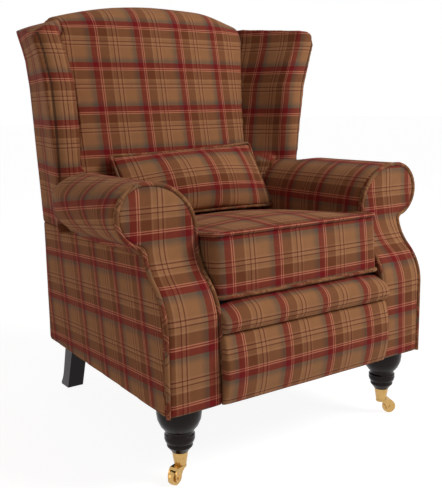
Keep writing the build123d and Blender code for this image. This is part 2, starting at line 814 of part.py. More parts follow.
# ------------------------------------------------------------------ padding of the wings
# Stations up the wing: height, how far the inner front edge stands outside the inside arm and
# the outer front edge outside the middle of the roll, and the flare of the rear corner
wing_stations = (
    (arm_rail_top_z, 72.0, -11.0, 0.0),
    (wing_narrow_z, 72.0, 15.0, 0.0),
    (wing_waist_z, 72.0, 23.0, 0.0),
    (junction_top_z - 157.0, 79.0, 37.0, 3.0),
    (junction_top_z - 91.0, 98.0, 54.0, 14.0),
    (junction_top_z - 46.0, 117.0, 68.0, 26.0),
    (junction_top_z + 14.0, 138.0, 81.0, 38.0),
)
with BuildPart() as right_wing_pad:
    for station_z, inner_out, outer_out, flare in wing_stations:
        inner_x = arm_inner_x + inner_out
        outer_x = scroll_x + outer_out
        corner_x = side_rear_x + flare
        back_y = rear_y + lean_y(station_z)
        turn_y = back_y - corner_r
        seam_share = (station_z - junction_bottom_z) / (junction_top_z - junction_bottom_z)
        seam_x = arm_inner_x + (junction_top_x - arm_inner_x) * seam_share
        seam_y = back_front_y(station_z, back_crown * (seam_x / junction_top_x) ** 2)
        deep_x = upright_inner_x - upright_w / 2
        deep_y = seam_y + (seam_x - deep_x) * (seam_y - wing_front_y) / (inner_x - seam_x)
        with BuildSketch(Plane.XY.offset(station_z)):
            with BuildLine():
                ThreePointArc(
                    (inner_x, wing_front_y),
                    ((inner_x + outer_x) / 2, wing_front_y - wing_bulge),
                    (outer_x, wing_front_y),
                )
                Line((outer_x, wing_front_y), (corner_x, turn_y))
                CenterArc((corner_x - corner_r, turn_y), corner_r, 0, 90)
                Polyline(
                    (corner_x - corner_r, back_y), (deep_x, back_y), (deep_x, deep_y), (inner_x, wing_front_y)
                )
            make_face()
    loft(ruled=True)
    with BuildSketch(Plane.XZ):
        with BuildLine():
            top = Polyline(
                (0, 0),
                (0, junction_top_z),
                (junction_top_x, junction_top_z),
                (wing_shoulder_x, junction_top_z - wing_fall),
            )
            shoulder = TangentArc(
                top @ 1,
                (wing_shoulder_x + wing_shoulder_r, junction_top_z - wing_fall - wing_shoulder_r),
                tangent=top % 1,
            )
            Polyline(
                shoulder @ 1,
                (wing_shoulder_x + 2 * wing_shoulder_r, wing_waist_z),
                (wing_shoulder_x + 2 * wing_shoulder_r, 0),
                (0, 0),
            )
        make_face()
    extrude(amount=reach, both=True, mode=Mode.INTERSECT)
    with BuildSketch(Plane.XZ):
        add(seam_outline())
    extrude(amount=reach, both=True, mode=Mode.SUBTRACT)
    with BuildSketch(Plane.XY):
        with Locations((0, arm_rear_y)):
            Rectangle(reach, reach, align=(Align.MIN, Align.MAX))
    extrude(amount=wing_tuck_z, mode=Mode.SUBTRACT)
    add(right_arm_pad.part, mode=Mode.SUBTRACT)
    add(right_wing_frame.part, mode=Mode.SUBTRACT)
    add(right_back_upright.part, mode=Mode.SUBTRACT)
    add(outside_back.part, mode=Mode.SUBTRACT)

# ------------------------------------------------------------------ seat cushion
tilt = math.radians(deck_slope_deg)
cushion_plane = Plane(
    origin=(0, cushion_front_y, deck_top(cushion_front_y) + soft_gap / math.cos(tilt)),
    x_dir=(1, 0, 0),
    z_dir=(0, math.sin(tilt), math.cos(tilt)),
)


# Plan of the box cushion at its welts, its front bowed by the filling
with BuildSketch() as cushion_plan:
    with BuildLine():
        ThreePointArc((-cushion_half_w, 0), (0, -cushion_side_bulge), (cushion_half_w, 0))
        Polyline(
            (cushion_half_w, 0),
            (cushion_half_w, cushion_depth),
            (-cushion_half_w, cushion_depth),
            (-cushion_half_w, 0),
        )
    make_face()
    fillet(cushion_plan.vertices(), radius=cushion_corner_r)

with BuildSketch(cushion_plane.offset(piping_r)) as welt_low:
    add(cushion_plan.sketch)
with BuildSketch(cushion_plane.offset(cushion_edge_h)) as welt_high:
    add(cushion_plan.sketch)
with BuildPart() as seat_cushion_piping:
    for welt in (welt_low, welt_high):
        loop_wire = welt.sketch.faces()[0].outer_wire()
        with BuildSketch(Plane(origin=loop_wire @ 0, z_dir=loop_wire % 0)):
            RegularPolygon(radius=piping_r, side_count=8)
        sweep(path=loop_wire)

with BuildPart() as seat_cushion:
    for share in (0.0, 0.5, 1.0):
        fullness = 4 * share * (1 - share)
        station = Plane(
            origin=cushion_plane.from_local_coords((0, share * (cushion_depth + 2 * piping_r) - piping_r, 0)),
            x_dir=(1, 0, 0),
            z_dir=-cushion_plane.y_dir,
        )
        with BuildSketch(station):
            with BuildLine():
                wide = cushion_half_w + cushion_side_bulge
                Line((-wide, 0), (wide, 0))
                Line((wide, 0), (wide, cushion_edge_h))
                ThreePointArc(
                    (wide, cushion_edge_h),
                    (0, cushion_edge_h + cushion_edge_rise + cushion_crown * fullness),
                    (-wide, cushion_edge_h),
                )
                Line((-wide, cushion_edge_h), (-wide, 0))
            make_face()
    loft()
    with BuildSketch(cushion_plane):
        add(cushion_plan.sketch)
    extrude(amount=2 * cushion_edge_h, mode=Mode.INTERSECT)
    add(seat_cushion_piping.part, mode=Mode.SUBTRACT)

# ------------------------------------------------------------------ lumbar cushion
lean_in = math.radians(lumbar_tilt_deg)
lumbar_plane = Plane(
    origin=(lumbar_x, lumbar_y, lumbar_z),
    x_dir=(1, 0, 0),
    z_dir=(0, -math.cos(lean_in), math.sin(lean_in)),
)


def lumbar_plan(inset):
    """Plan of the lumbar cushion at its welt: waisted sides and standing corners."""
    tip_x = lumbar_half_w - inset
    tip_y = lumbar_h / 2 + lumbar_corner_extra - inset
    mid_y = lumbar_h / 2 - inset
    mid_x = tip_x - lumbar_waist
    with BuildSketch() as plan:
        with BuildLine():
            ThreePointArc((-tip_x, tip_y), (0, mid_y), (tip_x, tip_y))
            ThreePointArc((tip_x, tip_y), (mid_x, 0), (tip_x, -tip_y))
            ThreePointArc((tip_x, -tip_y), (0, -mid_y), (-tip_x, -tip_y))
            ThreePointArc((-tip_x, -tip_y), (-mid_x, 0), (-tip_x, tip_y))
        make_face()
        fillet(plan.vertices(), radius=lumbar_corner_r - inset)
    return plan.sketch


with BuildSketch(lumbar_plane) as lumbar_loop:
    add(lumbar_plan(0))

lumbar_wire = lumbar_loop.sketch.faces()[0].outer_wire()
with BuildPart() as lumbar_cushion_piping:
    with BuildSketch(Plane(origin=lumbar_wire @ 0, z_dir=lumbar_wire % 0)):
        RegularPolygon(radius=lumbar_piping_r, side_count=8)
    sweep(path=lumbar_wire)

with BuildPart() as lumbar_cushion:
    for share in (-1.0, -lumbar_mid_share, 0.0, lumbar_mid_share, 1.0):
        fullness = 1 - share**2
        station = Plane(
            origin=lumbar_plane.from_local_coords((share * lumbar_half_w, 0, 0)),
            x_dir=lumbar_plane.y_dir,
            z_dir=lumbar_plane.x_dir,
        )
        edge = lumbar_h / 2 + lumbar_corner_extra
        with BuildSketch(station):
            with BuildLine():
                full_front = lumbar_edge + (lumbar_front - lumbar_edge) * fullness
                full_rear = lumbar_edge + (lumbar_rear - lumbar_edge) * fullness
                ThreePointArc((-edge, lumbar_rim), (0, full_front), (edge, lumbar_rim))
                Line((edge, lumbar_rim), (edge, -lumbar_rim))
                ThreePointArc((edge, -lumbar_rim), (0, -full_rear), (-edge, -lumbar_rim))
                Line((-edge, -lumbar_rim), (-edge, lumbar_rim))
            make_face()
    loft()
    with BuildSketch(lumbar_plane):
        add(lumbar_plan(lumbar_piping_r + welt_fit))
    extrude(amount=lumbar_h, both=True, mode=Mode.INTERSECT)

# ------------------------------------------------------------------ front leg
toe_r = cup_top_r - cup_wall
cup_taper = (cup_top_r - cup_bottom_r) / (leg_toe_z - cup_bottom_z)
toe_bottom_z = cup_bottom_z + cup_floor + swivel_head_t + horn_top_gap
toe_bottom_r = toe_r - cup_taper * (leg_toe_z - toe_bottom_z)
with BuildPart() as right_front_leg:
    with BuildSketch(Plane.XZ.offset(-leg_y)):
        with BuildLine():
            top = Line((leg_x, rail_bottom_z), (leg_x + leg_top_r, rail_bottom_z))
            shoulder = ThreePointArc(
                top @ 1,
                (leg_x + leg_bulb_r, leg_bulb_z),
                (leg_x + leg_collar_r, leg_collar_z),
            )
            neck = Line(shoulder @ 1, (leg_x + leg_neck_r, leg_neck_z))
            ring = ThreePointArc(neck @ 1, (leg_x + leg_ring_r, leg_ring_z), (leg_x + leg_waist_r, leg_waist_z))
            foot = ThreePointArc(ring @ 1, (leg_x + leg_foot_r, leg_foot_z), (leg_x + toe_r + cup_wall, leg_toe_z))
            Polyline(
                foot @ 1,
                (leg_x + toe_r, leg_toe_z),
                (leg_x + toe_bottom_r, toe_bottom_z),
                (leg_x, toe_bottom_z),
                (leg_x, rail_bottom_z),
            )
        make_face()
    revolve(axis=Axis((leg_x, leg_y, 0), (0, 0, 1)))
    with BuildSketch(Plane.XY.offset(rail_bottom_z)):
        with Locations((leg_x, leg_y)):
            Circle(bolt_r + bolt_fit)
    extrude(amount=bolt_bottom_z - rail_bottom_z, mode=Mode.SUBTRACT)

bolt_top_z = rail_bottom_z + block_h + tee_nut_t
with BuildPart() as front_leg_bolts:
    with BuildSketch(Plane.XY.offset(bolt_bottom_z)):
        with Locations((leg_x, leg_y), (-leg_x, leg_y)):
            Circle(bolt_r)
    extrude(amount=bolt_top_z - bolt_bottom_z)

with BuildPart() as front_leg_tee_nuts:
    with BuildSketch(Plane.XY.offset(rail_bottom_z + block_h)):
        with Locations((leg_x, leg_y), (-leg_x, leg_y)):
            Circle(tee_nut_r)
            Circle(bolt_r + bolt_fit, mode=Mode.SUBTRACT)
    extrude(amount=tee_nut_t)

# ------------------------------------------------------------------ castors
with BuildPart() as right_castor_cup:
    with BuildSketch(Plane.XZ.offset(-leg_y)):
        with BuildLine():
            Polyline(
                (leg_x + swivel_pin_r + running_fit, cup_bottom_z),
                (leg_x + cup_bottom_r, cup_bottom_z),
                (leg_x + cup_top_r, leg_toe_z),
                (leg_x + toe_r, leg_toe_z),
                (leg_x + toe_r - cup_taper * (leg_toe_z - cup_bottom_z - cup_floor), cup_bottom_z + cup_floor),
                (leg_x + swivel_pin_r + running_fit, cup_bottom_z + cup_floor),
                close=True,
            )
        make_face()
    revolve(axis=Axis((leg_x, leg_y, 0), (0, 0, 1)))

horn_top_z = cup_bottom_z - horn_top_gap
horn_bottom_z = horn_top_z - horn_plate_t
horn_half = wheel_w / 2 + horn_gap + horn_arm_t
right_turn = math.radians(180 - castor_turn_deg)
left_turn = math.radians(castor_turn_deg)
right_castor_plane = Plane(
    origin=(leg_x, leg_y, 0), x_dir=(math.cos(right_turn), math.sin(right_turn), 0), z_dir=(0, 0, 1)
)

# The horn in its own frame: swivel axis at the origin, wheel trailing along its X
right_castor_side = Plane(
    origin=right_castor_plane.origin, x_dir=right_castor_plane.x_dir, z_dir=-right_castor_plane.y_dir
)
with BuildPart() as right_castor_horn:
    with BuildSketch(right_castor_plane.offset(horn_bottom_z)):
        Circle(horn_plate_r)
    extrude(amount=horn_plate_t)
    with BuildSketch(right_castor_side):
        with BuildLine():
            spine = ThreePointArc(
                (-horn_root, horn_top_z),
                (castor_trail + horn_bow_out, wheel_r + horn_bow_up),
                (castor_trail + horn_eye_r, wheel_r),
            )
            eye = ThreePointArc(spine @ 1, (castor_trail, wheel_r - horn_eye_r), (castor_trail - horn_eye_r, wheel_r))
            throat = ThreePointArc(
                eye @ 1,
                (horn_throat_in, (wheel_r + horn_bottom_z) / 2),
                (-horn_root, horn_bottom_z),
            )
            Line(throat @ 1, spine @ 0)
        make_face()
    extrude(amount=horn_half, both=True)
    with BuildSketch(right_castor_side):
        with Locations((castor_trail, wheel_r)):
            Circle(wheel_r + 2 * horn_gap)
    extrude(amount=wheel_w / 2 + horn_gap, both=True, mode=Mode.SUBTRACT)
    with BuildSketch(right_castor_side):
        with Locations((castor_trail, wheel_r)):
            Circle(axle_r)
    extrude(amount=horn_half, both=True, mode=Mode.SUBTRACT)
    with BuildSketch(right_castor_plane.offset(horn_top_z)):
        Rectangle(reach, reach)
    extrude(amount=reach, mode=Mode.SUBTRACT)
    with BuildSketch(right_castor_plane.offset(horn_top_z)):
        Circle(swivel_pin_r)
    extrude(amount=cup_floor + 2 * horn_top_gap)
    with BuildSketch(right_castor_plane.offset(cup_bottom_z + cup_floor + horn_top_gap)):
        Circle(swivel_head_r)
    extrude(amount=swivel_head_t - horn_top_gap)

with BuildPart() as right_castor_axle:
    with BuildSketch(right_castor_side.offset(-horn_half)):
        with Locations((castor_trail, wheel_r)):
            Circle(axle_r)
    extrude(amount=2 * horn_half)
    with BuildSketch(right_castor_side.offset(horn_half), right_castor_side.offset(-horn_half - axle_head_t)):
        with Locations((castor_trail, wheel_r)):
            Circle(axle_head_r)
    extrude(amount=axle_head_t)

wheel_axis_plane = Plane(
    origin=right_castor_plane.from_local_coords((castor_trail, 0, wheel_r)),
    x_dir=(0, 0, 1),
    z_dir=right_castor_plane.x_dir,
)
with BuildPart() as right_castor_wheel:
    with BuildSketch(wheel_axis_plane):
        with BuildLine():
            bore = axle_r + running_fit
            tread = ThreePointArc(
                (wheel_r - wheel_crown, -wheel_w / 2), (wheel_r, 0), (wheel_r - wheel_crown, wheel_w / 2)
            )
            Polyline(tread @ 1, (bore, wheel_w / 2), (bore, -wheel_w / 2), tread @ 0)
        make_face()
    revolve(axis=Axis(wheel_axis_plane.origin, wheel_axis_plane.y_dir))

# ------------------------------------------------------------------ the left side
with BuildPart() as left_seat_rail:
    mirror(right_seat_rail.part, about=Plane.YZ)
with BuildPart() as left_corner_block:
    mirror(right_corner_block.part, about=Plane.YZ)
with BuildPart() as left_back_upright:
    mirror(right_back_upright.part, about=Plane.YZ)
with BuildPart() as left_wing_frame:
    mirror(right_wing_frame.part, about=Plane.YZ)
with BuildPart() as left_arm_front_board:
    mirror(right_arm_front_board.part, about=Plane.YZ)
with BuildPart() as left_arm_rail:
    mirror(right_arm_rail.part, about=Plane.YZ)
with BuildPart() as left_outside_arm:
    mirror(right_outside_arm.part, about=Plane.YZ)
with BuildPart() as left_arm_pad:
    mirror(right_arm_pad.part, about=Plane.YZ)
with BuildPart() as left_wing_pad:
    mirror(right_wing_pad.part, about=Plane.YZ)
with BuildPart() as left_front_leg:
    mirror(right_front_leg.part, about=Plane.YZ)
with BuildPart() as left_castor_cup:
    mirror(right_castor_cup.part, about=Plane.YZ)
with BuildPart() as left_castor_horn:
    mirror(right_castor_horn.part, about=Plane.YZ)
with BuildPart() as left_castor_axle:
    mirror(right_castor_axle.part, about=Plane.YZ)
with BuildPart() as left_castor_wheel:
    mirror(right_castor_wheel.part, about=Plane.YZ)

# ------------------------------------------------------------------ labels and files
pieces = {
    "front_seat_rail": front_seat_rail,
    "rear_seat_rail": rear_seat_rail,
    "left_seat_rail": left_seat_rail,
    "right_seat_rail": right_seat_rail,
    "left_corner_block": left_corner_block,
    "right_corner_block": right_corner_block,
    "left_back_upright": left_back_upright,
    "right_back_upright": right_back_upright,
    "back_top_rail": back_top_rail,
    "back_cross_rail": back_cross_rail,
    "back_webbing": back_webbing,
    "left_wing_frame": left_wing_frame,
    "right_wing_frame": right_wing_frame,
    "left_arm_front_board": left_arm_front_board,
    "right_arm_front_board": right_arm_front_board,
    "left_arm_rail": left_arm_rail,
    "right_arm_rail": right_arm_rail,
    "seat_springs": seat_springs,
    "spring_clips": spring_clips,
    "seat_deck": seat_deck,
    "front_border": front_border,
    "front_lip": front_lip,
    "left_arm_facing": left_arm_facing,
    "right_arm_facing": right_arm_facing,
    "left_arm_facing_piping": left_arm_facing_piping,
    "right_arm_facing_piping": right_arm_facing_piping,
    "left_outside_arm": left_outside_arm,
    "right_outside_arm": right_outside_arm,
    "outside_back": outside_back,
    "dust_cover": dust_cover,
    "left_arm_pad": left_arm_pad,
    "right_arm_pad": right_arm_pad,
    "inside_back": inside_back,
    "left_wing_pad": left_wing_pad,
    "right_wing_pad": right_wing_pad,
    "seat_cushion": seat_cushion,
    "seat_cushion_piping": seat_cushion_piping,
    "lumbar_cushion": lumbar_cushion,
    "lumbar_cushion_piping": lumbar_cushion_piping,
    "left_front_leg": left_front_leg,
    "right_front_leg": right_front_leg,
    "front_leg_bolts": front_leg_bolts,
    "front_leg_tee_nuts": front_leg_tee_nuts,
    "left_castor_cup": left_castor_cup,
    "right_castor_cup": right_castor_cup,
    "left_castor_horn": left_castor_horn,
    "right_castor_horn": right_castor_horn,
    "left_castor_axle": left_castor_axle,
    "right_castor_axle": right_castor_axle,
    "left_castor_wheel": left_castor_wheel,
    "right_castor_wheel": right_castor_wheel,
}
for name, piece in pieces.items():
    piece.part.label = name
    export_step(piece.part, f"parts/{name}.step")
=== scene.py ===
import json
import math

import bmesh
import bpy
import numpy as np
from bpy.props import FloatProperty, FloatVectorProperty, IntProperty, PointerProperty
from mathutils import Matrix, Vector, noise


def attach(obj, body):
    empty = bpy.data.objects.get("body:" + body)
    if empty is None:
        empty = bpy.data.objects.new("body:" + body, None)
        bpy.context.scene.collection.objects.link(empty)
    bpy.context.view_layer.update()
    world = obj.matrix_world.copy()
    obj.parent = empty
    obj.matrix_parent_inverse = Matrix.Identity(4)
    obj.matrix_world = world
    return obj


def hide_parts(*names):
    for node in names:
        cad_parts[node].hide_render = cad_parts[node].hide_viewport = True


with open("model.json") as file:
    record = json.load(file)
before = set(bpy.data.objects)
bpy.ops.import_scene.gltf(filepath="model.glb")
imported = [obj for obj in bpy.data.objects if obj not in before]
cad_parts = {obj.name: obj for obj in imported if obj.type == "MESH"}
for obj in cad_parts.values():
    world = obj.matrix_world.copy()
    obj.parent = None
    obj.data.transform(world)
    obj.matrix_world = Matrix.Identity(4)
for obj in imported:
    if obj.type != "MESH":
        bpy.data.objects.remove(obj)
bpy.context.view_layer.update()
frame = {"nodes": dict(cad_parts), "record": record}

bl_info = {
    "name": "Fireside Wing Chair",
    "version": (1, 0, 0),
    "blender": (4, 5, 0),
    "location": "View3D > Sidebar > Fireside Chair",
    "description": "Wool check covers, loose cushions, turned legs and brass castors of a fireside chair",
    "category": "Object",
}

MM = 0.001
SIDES = {-1: "left", 1: "right"}

# Sizes of the chair that the covers follow, in millimetres

# An arm's front: its crest, scroll and tuck are arcs, each by centre across, centre up and radius
UNDERSIDE_Z = 166.0
FACING_FRONT_Y = -360.0
FOOT_INNER_X = 218.0
FOOT_TOP_Z = 226.0
ARM_INNER_X = 228.0
ARM_INNER_Z = (412.0, 455.0)
CREST = (335.0, 505.0, 107.0)
SCROLL = (343.0, 548.0, 64.0)
TUCK = (365.0, 473.17, 14.0)
ARM_OUTER_X = 351.0
ARM_OUTER_TOP_Z = 330.0
OGEE_Z = (335.0, 500.0)
OGEE_DEPTH = 75.0
LIP_SEAM_Z = 312.0

# The rear: its corner by centre across, centre back and radius, and how it leans back above the arms
REAR_Y = 320.0
REAR_CORNER = (262.0, 255.0, 65.0)
LEAN_FROM_Z = 450.0
LEAN = math.tan(math.radians(7.2))

# The seat cushion, from the middle of its lower front edge
DECK_SLOPE = math.radians(4.8)
CUSHION_ORIGIN = (0.0, -351.0, 376.2)
CUSHION_HALF_W = 220.5
CUSHION_DEPTH = 424.0
CUSHION_EDGE_H = 130.0
CUSHION_BOW = 3.0
CUSHION_CORNER_R = 18.0
PIPING_R = 4.5

# The lumbar cushion, from its middle
LUMBAR_ORIGIN = (15.0, 106.0, 571.0)
LUMBAR_TILT = math.radians(24.0)
LUMBAR_HALF_W = 208.0
LUMBAR_HALF_H = 86.0
LUMBAR_CORNER = 6.0
LUMBAR_WAIST = 7.0
LUMBAR_CORNER_R = 9.0
LUMBAR_PIPING_R = 3.6

# The inside back, whose waist is given back and up
BACK_WAIST = (120.0, 480.0)
BACK_RAKE = math.radians(10.8)
BACK_CROWN = 22.0
BACK_TOP_Z = 1008.0
BACK_ROLL_R = 72.0
ARCH_DROP = 32.0
ARCH_HALF_W = 258.0
BACK_SIDE_X = 273.0

# The wings at the heights WING_Z, and how far each side's outer edge and top differ from the solid
WING_FRONT_Y = 95.0
WING_TOP_Z = 961.0
WING_Z = (470.0, 600.0, 700.0, 804.0, 870.0, 915.0, 975.0)
WING_INNER_X = (300.0, 300.0, 300.0, 307.0, 326.0, 345.0, 366.0)
WING_OUTER_X = (332.0, 358.0, 366.0, 380.0, 397.0, 411.0, 424.0)
WING_FLARE = (0.0, 0.0, 0.0, 3.0, 14.0, 26.0, 38.0)
WING_OUT = {-1: (0.0, 0.0, 0.0, -4.0, -11.0, -13.0, -12.0), 1: (0.0, 0.0, 0.0, 2.0, 6.0, 7.0, 6.0)}
WING_UP = {-1: -12.0, 1: 4.0}
WING_SEAM_IN = (6.0, 6.0, 10.0, 14.0, 12.0, 11.0, 10.0)

# Where wing and inside back meet, heights first, and how wide the hollow beside them is on each side
JUNCTION = ((612.0, 961.0), (228.0, 273.0))
HOLLOW_Z = (560.0, 615.0, 655.0, 720.0, 791.0, 865.0, 905.0, 935.0)
HOLLOW = {-1: (44.0, 44.0, 34.0, 22.0, 14.0, 18.0, 18.0, 0.0), 1: (0.0,) * 8}

# A turned front leg: its middle, and its outline from the top by radius and height
LEG_X = 291.0
LEG_Y = -302.0
LEG_STEPS = 72
LEG_PROFILE = (
    (0.0, 168.0), (43.0, 168.0), (45.6, 160.0), (46.5, 150.0), (44.6, 136.0), (38.6, 122.0), (34.2, 117.4),
    (33.6, 115.8), (31.8, 114.4), (29.6, 111.4), (28.5, 107.6), (29.2, 105.2), (31.0, 103.6), (31.3, 102.6),
    (30.4, 101.4), (31.2, 99.0), (31.3, 94.0), (29.6, 88.4), (27.0, 84.9), (26.0, 84.4), (25.6, 83.4),
    (26.6, 81.8), (26.9, 79.4), (26.2, 77.0), (24.6, 75.6), (22.4, 72.6), (19.4, 68.6), (17.6, 66.4),
    (16.8, 65.2), (15.2, 65.0), (15.0, 62.0), (11.4, 42.9), (0.0, 42.9),
)


def paint(red, green, blue):
    """A colour read as 0 to 255 on screen, as linear light."""
    shares = (value / 255 for value in (red, green, blue))
    return tuple(v / 12.92 if v <= 0.04045 else ((v + 0.055) / 1.055) ** 2.4 for v in shares)


# ---------------------------------------------------------------- settings


class CheckSettings(bpy.types.PropertyGroup):
    """Sizes and colours of the woven check"""

    repeat_across: FloatProperty(
        name="Repeat across", description="Width of one repeat of the check", default=0.1207, unit="LENGTH"
    )
    repeat_up: FloatProperty(
        name="Repeat up", description="Height of one repeat of the check", default=0.106, unit="LENGTH"
    )
    thread: FloatProperty(
        name="Thread", description="Pitch of the wool threads", default=0.00075, unit="LENGTH"
    )
    crimson: FloatVectorProperty(
        name="Crimson", description="Broad stripe", subtype="COLOR", size=3, default=paint(122, 14, 20)
    )
    overline: FloatVectorProperty(
        name="Overline", description="Pair of fine pale lines", subtype="COLOR", size=3,
        default=paint(212, 134, 106),
    )
    brown: FloatVectorProperty(
        name="Brown", description="Ground beside the overline", subtype="COLOR", size=3,
        default=paint(114, 62, 34),
    )
    light: FloatVectorProperty(
        name="Light", description="Band round the dark lines", subtype="COLOR", size=3,
        default=paint(178, 126, 88),
    )
    dark: FloatVectorProperty(
        name="Dark", description="Pair of thin dark lines", subtype="COLOR", size=3, default=paint(96, 36, 24)
    )
    tan: FloatVectorProperty(
        name="Tan", description="Plain ground", subtype="COLOR", size=3, default=paint(162, 112, 74)
    )
    slate: FloatVectorProperty(
        name="Slate", description="Shade before the crimson", subtype="COLOR", size=3, default=paint(96, 84, 72)
    )


class StuffingSettings(bpy.types.PropertyGroup):
    """How the padding is meshed and filled"""

    voxel: FloatProperty(name="Voxel", description="Mesh size of the padding", default=0.005, unit="LENGTH")
    pressure: FloatProperty(
        name="Pressure", description="Filling pressure of the loose cushions", default=4.0
    )
    travel: FloatProperty(
        name="Travel", description="Furthest that a cushion's cover moves out", default=0.009, unit="LENGTH"
    )
    frames: IntProperty(name="Frames", description="Frames of cloth simulation", default=20, min=2)


class FinishSettings(bpy.types.PropertyGroup):
    """Colours of the wood and the metal"""

    lacquer: FloatVectorProperty(
        name="Lacquer", description="Near-black brown of the legs", subtype="COLOR", size=3,
        default=paint(22, 10, 7),
    )
    brass: FloatVectorProperty(
        name="Brass", description="Polished brass", subtype="COLOR", size=3, default=paint(198, 160, 100)
    )
    beech: FloatVectorProperty(
        name="Beech", description="Sawn beech of the frame", subtype="COLOR", size=3,
        default=paint(196, 152, 106),
    )


class StageSettings(bpy.types.PropertyGroup):
    """Camera, lamps and even light"""

    lens: FloatProperty(name="Lens", description="Focal length in millimetres", default=56.39, unit="CAMERA")
    key: FloatProperty(name="Key", description="Key lamp in watts", default=97.0, unit="POWER")
    fill: FloatProperty(name="Fill", description="Fill lamp in watts", default=11.0, unit="POWER")
    sky: FloatProperty(name="Sky", description="Strength of the even light all round", default=0.2)


# ---------------------------------------------------------------- numbers and points


def rise(value, start, full, most=1.0):
    """From 0 at start in a straight line to 1 at full, and on to most at the furthest."""
    return np.clip((value - start) / (full - start), 0, most)


def dome(value, half_width):
    """1 in the middle, rounding down to 0 at half a width from it."""
    return np.clip(1 - (value / half_width) ** 2, 0, 1)


def bell(value, middle, width):
    """1 at the middle, dying away on both sides over a width or two."""
    return np.exp(-(((value - middle) / width) ** 2))


def ripple(points, scale, seed):
    """Slow unevenness over a surface, from -1 to 1."""
    shift = Vector((seed * 3.1, seed * 1.7, seed * 2.3))
    return np.array([noise.noise(Vector(p) * scale + shift) for p in points.tolist()])


def moved_by(matrix, points):
    """Row points turned and moved by a matrix."""
    grid = np.array(matrix)
    return points @ grid[:3, :3].T + grid[:3, 3]


def into(matrix, points):
    """Row points in the space that a matrix comes from."""
    return moved_by(matrix.inverted(), points)


def seat_frame():
    """From the seat cushion's own space, across, back and up, to the row's."""
    return Matrix.Translation(Vector(CUSHION_ORIGIN)) @ Matrix.Rotation(-DECK_SLOPE, 4, "X")


def lumbar_frame():
    """From the lumbar cushion's own space, across, up and forward, to the row's."""
    return Matrix.Translation(Vector(LUMBAR_ORIGIN)) @ Matrix.Rotation(math.pi / 2 - LUMBAR_TILT, 4, "X")


def arc(centre_x, centre_z, radius, start, end, count):
    """Points along an arc between two angles in degrees."""
    turns = [math.radians(start + (end - start) * i / count) for i in range(count + 1)]
    return [(centre_x + radius * math.cos(turn), centre_z + radius * math.sin(turn)) for turn in turns]


def rounded_corner(before, here, after, radius, steps=6):
    """Points on the arc that turns a corner."""
    first = (before - here).normalized()
    second = (after - here).normalized()
    half = first.angle(second) / 2
    run = radius / math.tan(half)
    centre = here + (first + second).normalized() * radius / math.sin(half)
    start, end = here + first * run - centre, here + second * run - centre
    axis, whole = start.cross(end).normalized(), start.angle(end)
    return [centre + Matrix.Rotation(whole * s / steps, 3, axis) @ start for s in range(steps + 1)]


def bowed(first, last, bow, steps):
    """Points between two corners, bowed out sideways in the middle."""
    span = last - first
    side = Vector((span.y, -span.x, 0)).normalized()
    return [
        first + span * s / steps + side * bow * 4 * (s / steps) * (1 - s / steps) for s in range(1, steps)
    ]


def nearest_on(knots, x, y):
    """Length along a line at the foot of each point, and the distance from it.

    A knot is a pair of numbers, or of arrays where the line differs from point to point.
    """
    best = np.full(len(x), 1e9)
    place = np.zeros(len(x))
    before = np.zeros(len(x))
    for (x0, y0), (x1, y1) in zip(knots, knots[1:]):
        span_x, span_y = x1 - x0, y1 - y0
        length = np.hypot(span_x, span_y)
        share = np.clip(((x - x0) * span_x + (y - y0) * span_y) / length**2, 0, 1)
        gap = np.hypot(x - x0 - share * span_x, y - y0 - share * span_y)
        nearer = gap < best
        best = np.where(nearer, gap, best)
        place = np.where(nearer, before + share * length, place)
        before = before + length
    return place, best


def arm_line(inset=0.0):
    """Outline of an arm's front from its inner foot over the crest and round the scroll to its outer foot."""
    tuck_angle = math.degrees(math.atan2(TUCK[1] - SCROLL[1], TUCK[0] - SCROLL[0]))
    line = [(FOOT_INNER_X + inset, z) for z in (UNDERSIDE_Z, FOOT_TOP_Z)]
    line += [(ARM_INNER_X + inset, z) for z in ARM_INNER_Z]
    line += arc(CREST[0], CREST[1], CREST[2] - inset, 180, 90, count=16)
    line += arc(SCROLL[0], SCROLL[1], SCROLL[2] - inset, 90, tuck_angle, count=24)
    line += arc(TUCK[0], TUCK[1], TUCK[2] + inset, tuck_angle + 180, 180, count=6)
    return line + [(ARM_OUTER_X - inset, z) for z in (ARM_OUTER_TOP_Z, UNDERSIDE_Z)]


def ogee_back(z):
    """How far the arm's front stands back at a height, on two equal arcs."""
    low, high = OGEE_Z
    half = (high - low) / 2
    radius = (half * half + OGEE_DEPTH * OGEE_DEPTH / 4) / OGEE_DEPTH
    z = np.asarray(z, dtype=float)
    lower = radius - np.sqrt(radius**2 - np.clip(z - low, 0, half) ** 2)
    upper = OGEE_DEPTH - (radius - np.sqrt(radius**2 - np.clip(high - z, 0, half) ** 2))
    return np.where(z < (low + high) / 2, lower, upper)


def wing_seam_x(side, z):
    """Seam down the front of a wing, a little inside its outer corner."""
    outer = sum(np.interp(z, WING_Z, row) for row in (WING_OUTER_X, WING_OUT[side]))
    return outer - np.interp(z, WING_Z, WING_SEAM_IN)


def wing_seam_gap(side):
    """Distance from a wing's front seam, which ends a little under the top."""
    behind, under_top, far_off = 8.0, 18.0, 99.0

    def gap(points):
        x, y, z = points.T
        off = np.hypot(x * side - wing_seam_x(side, z), np.clip(y - WING_FRONT_Y - behind, 0, None))
        return np.where(z < WING_TOP_Z - under_top, off, far_off)

    return gap


# ---------------------------------------------------------------- mesh helpers

# Waves per metre of a hand stretched cover
WAVE_SCALE = 11.0

# A seam map holds this reach less the distance to the seam, so that a piece without one has no painted seam
# line
SEAM_REACH = 0.02


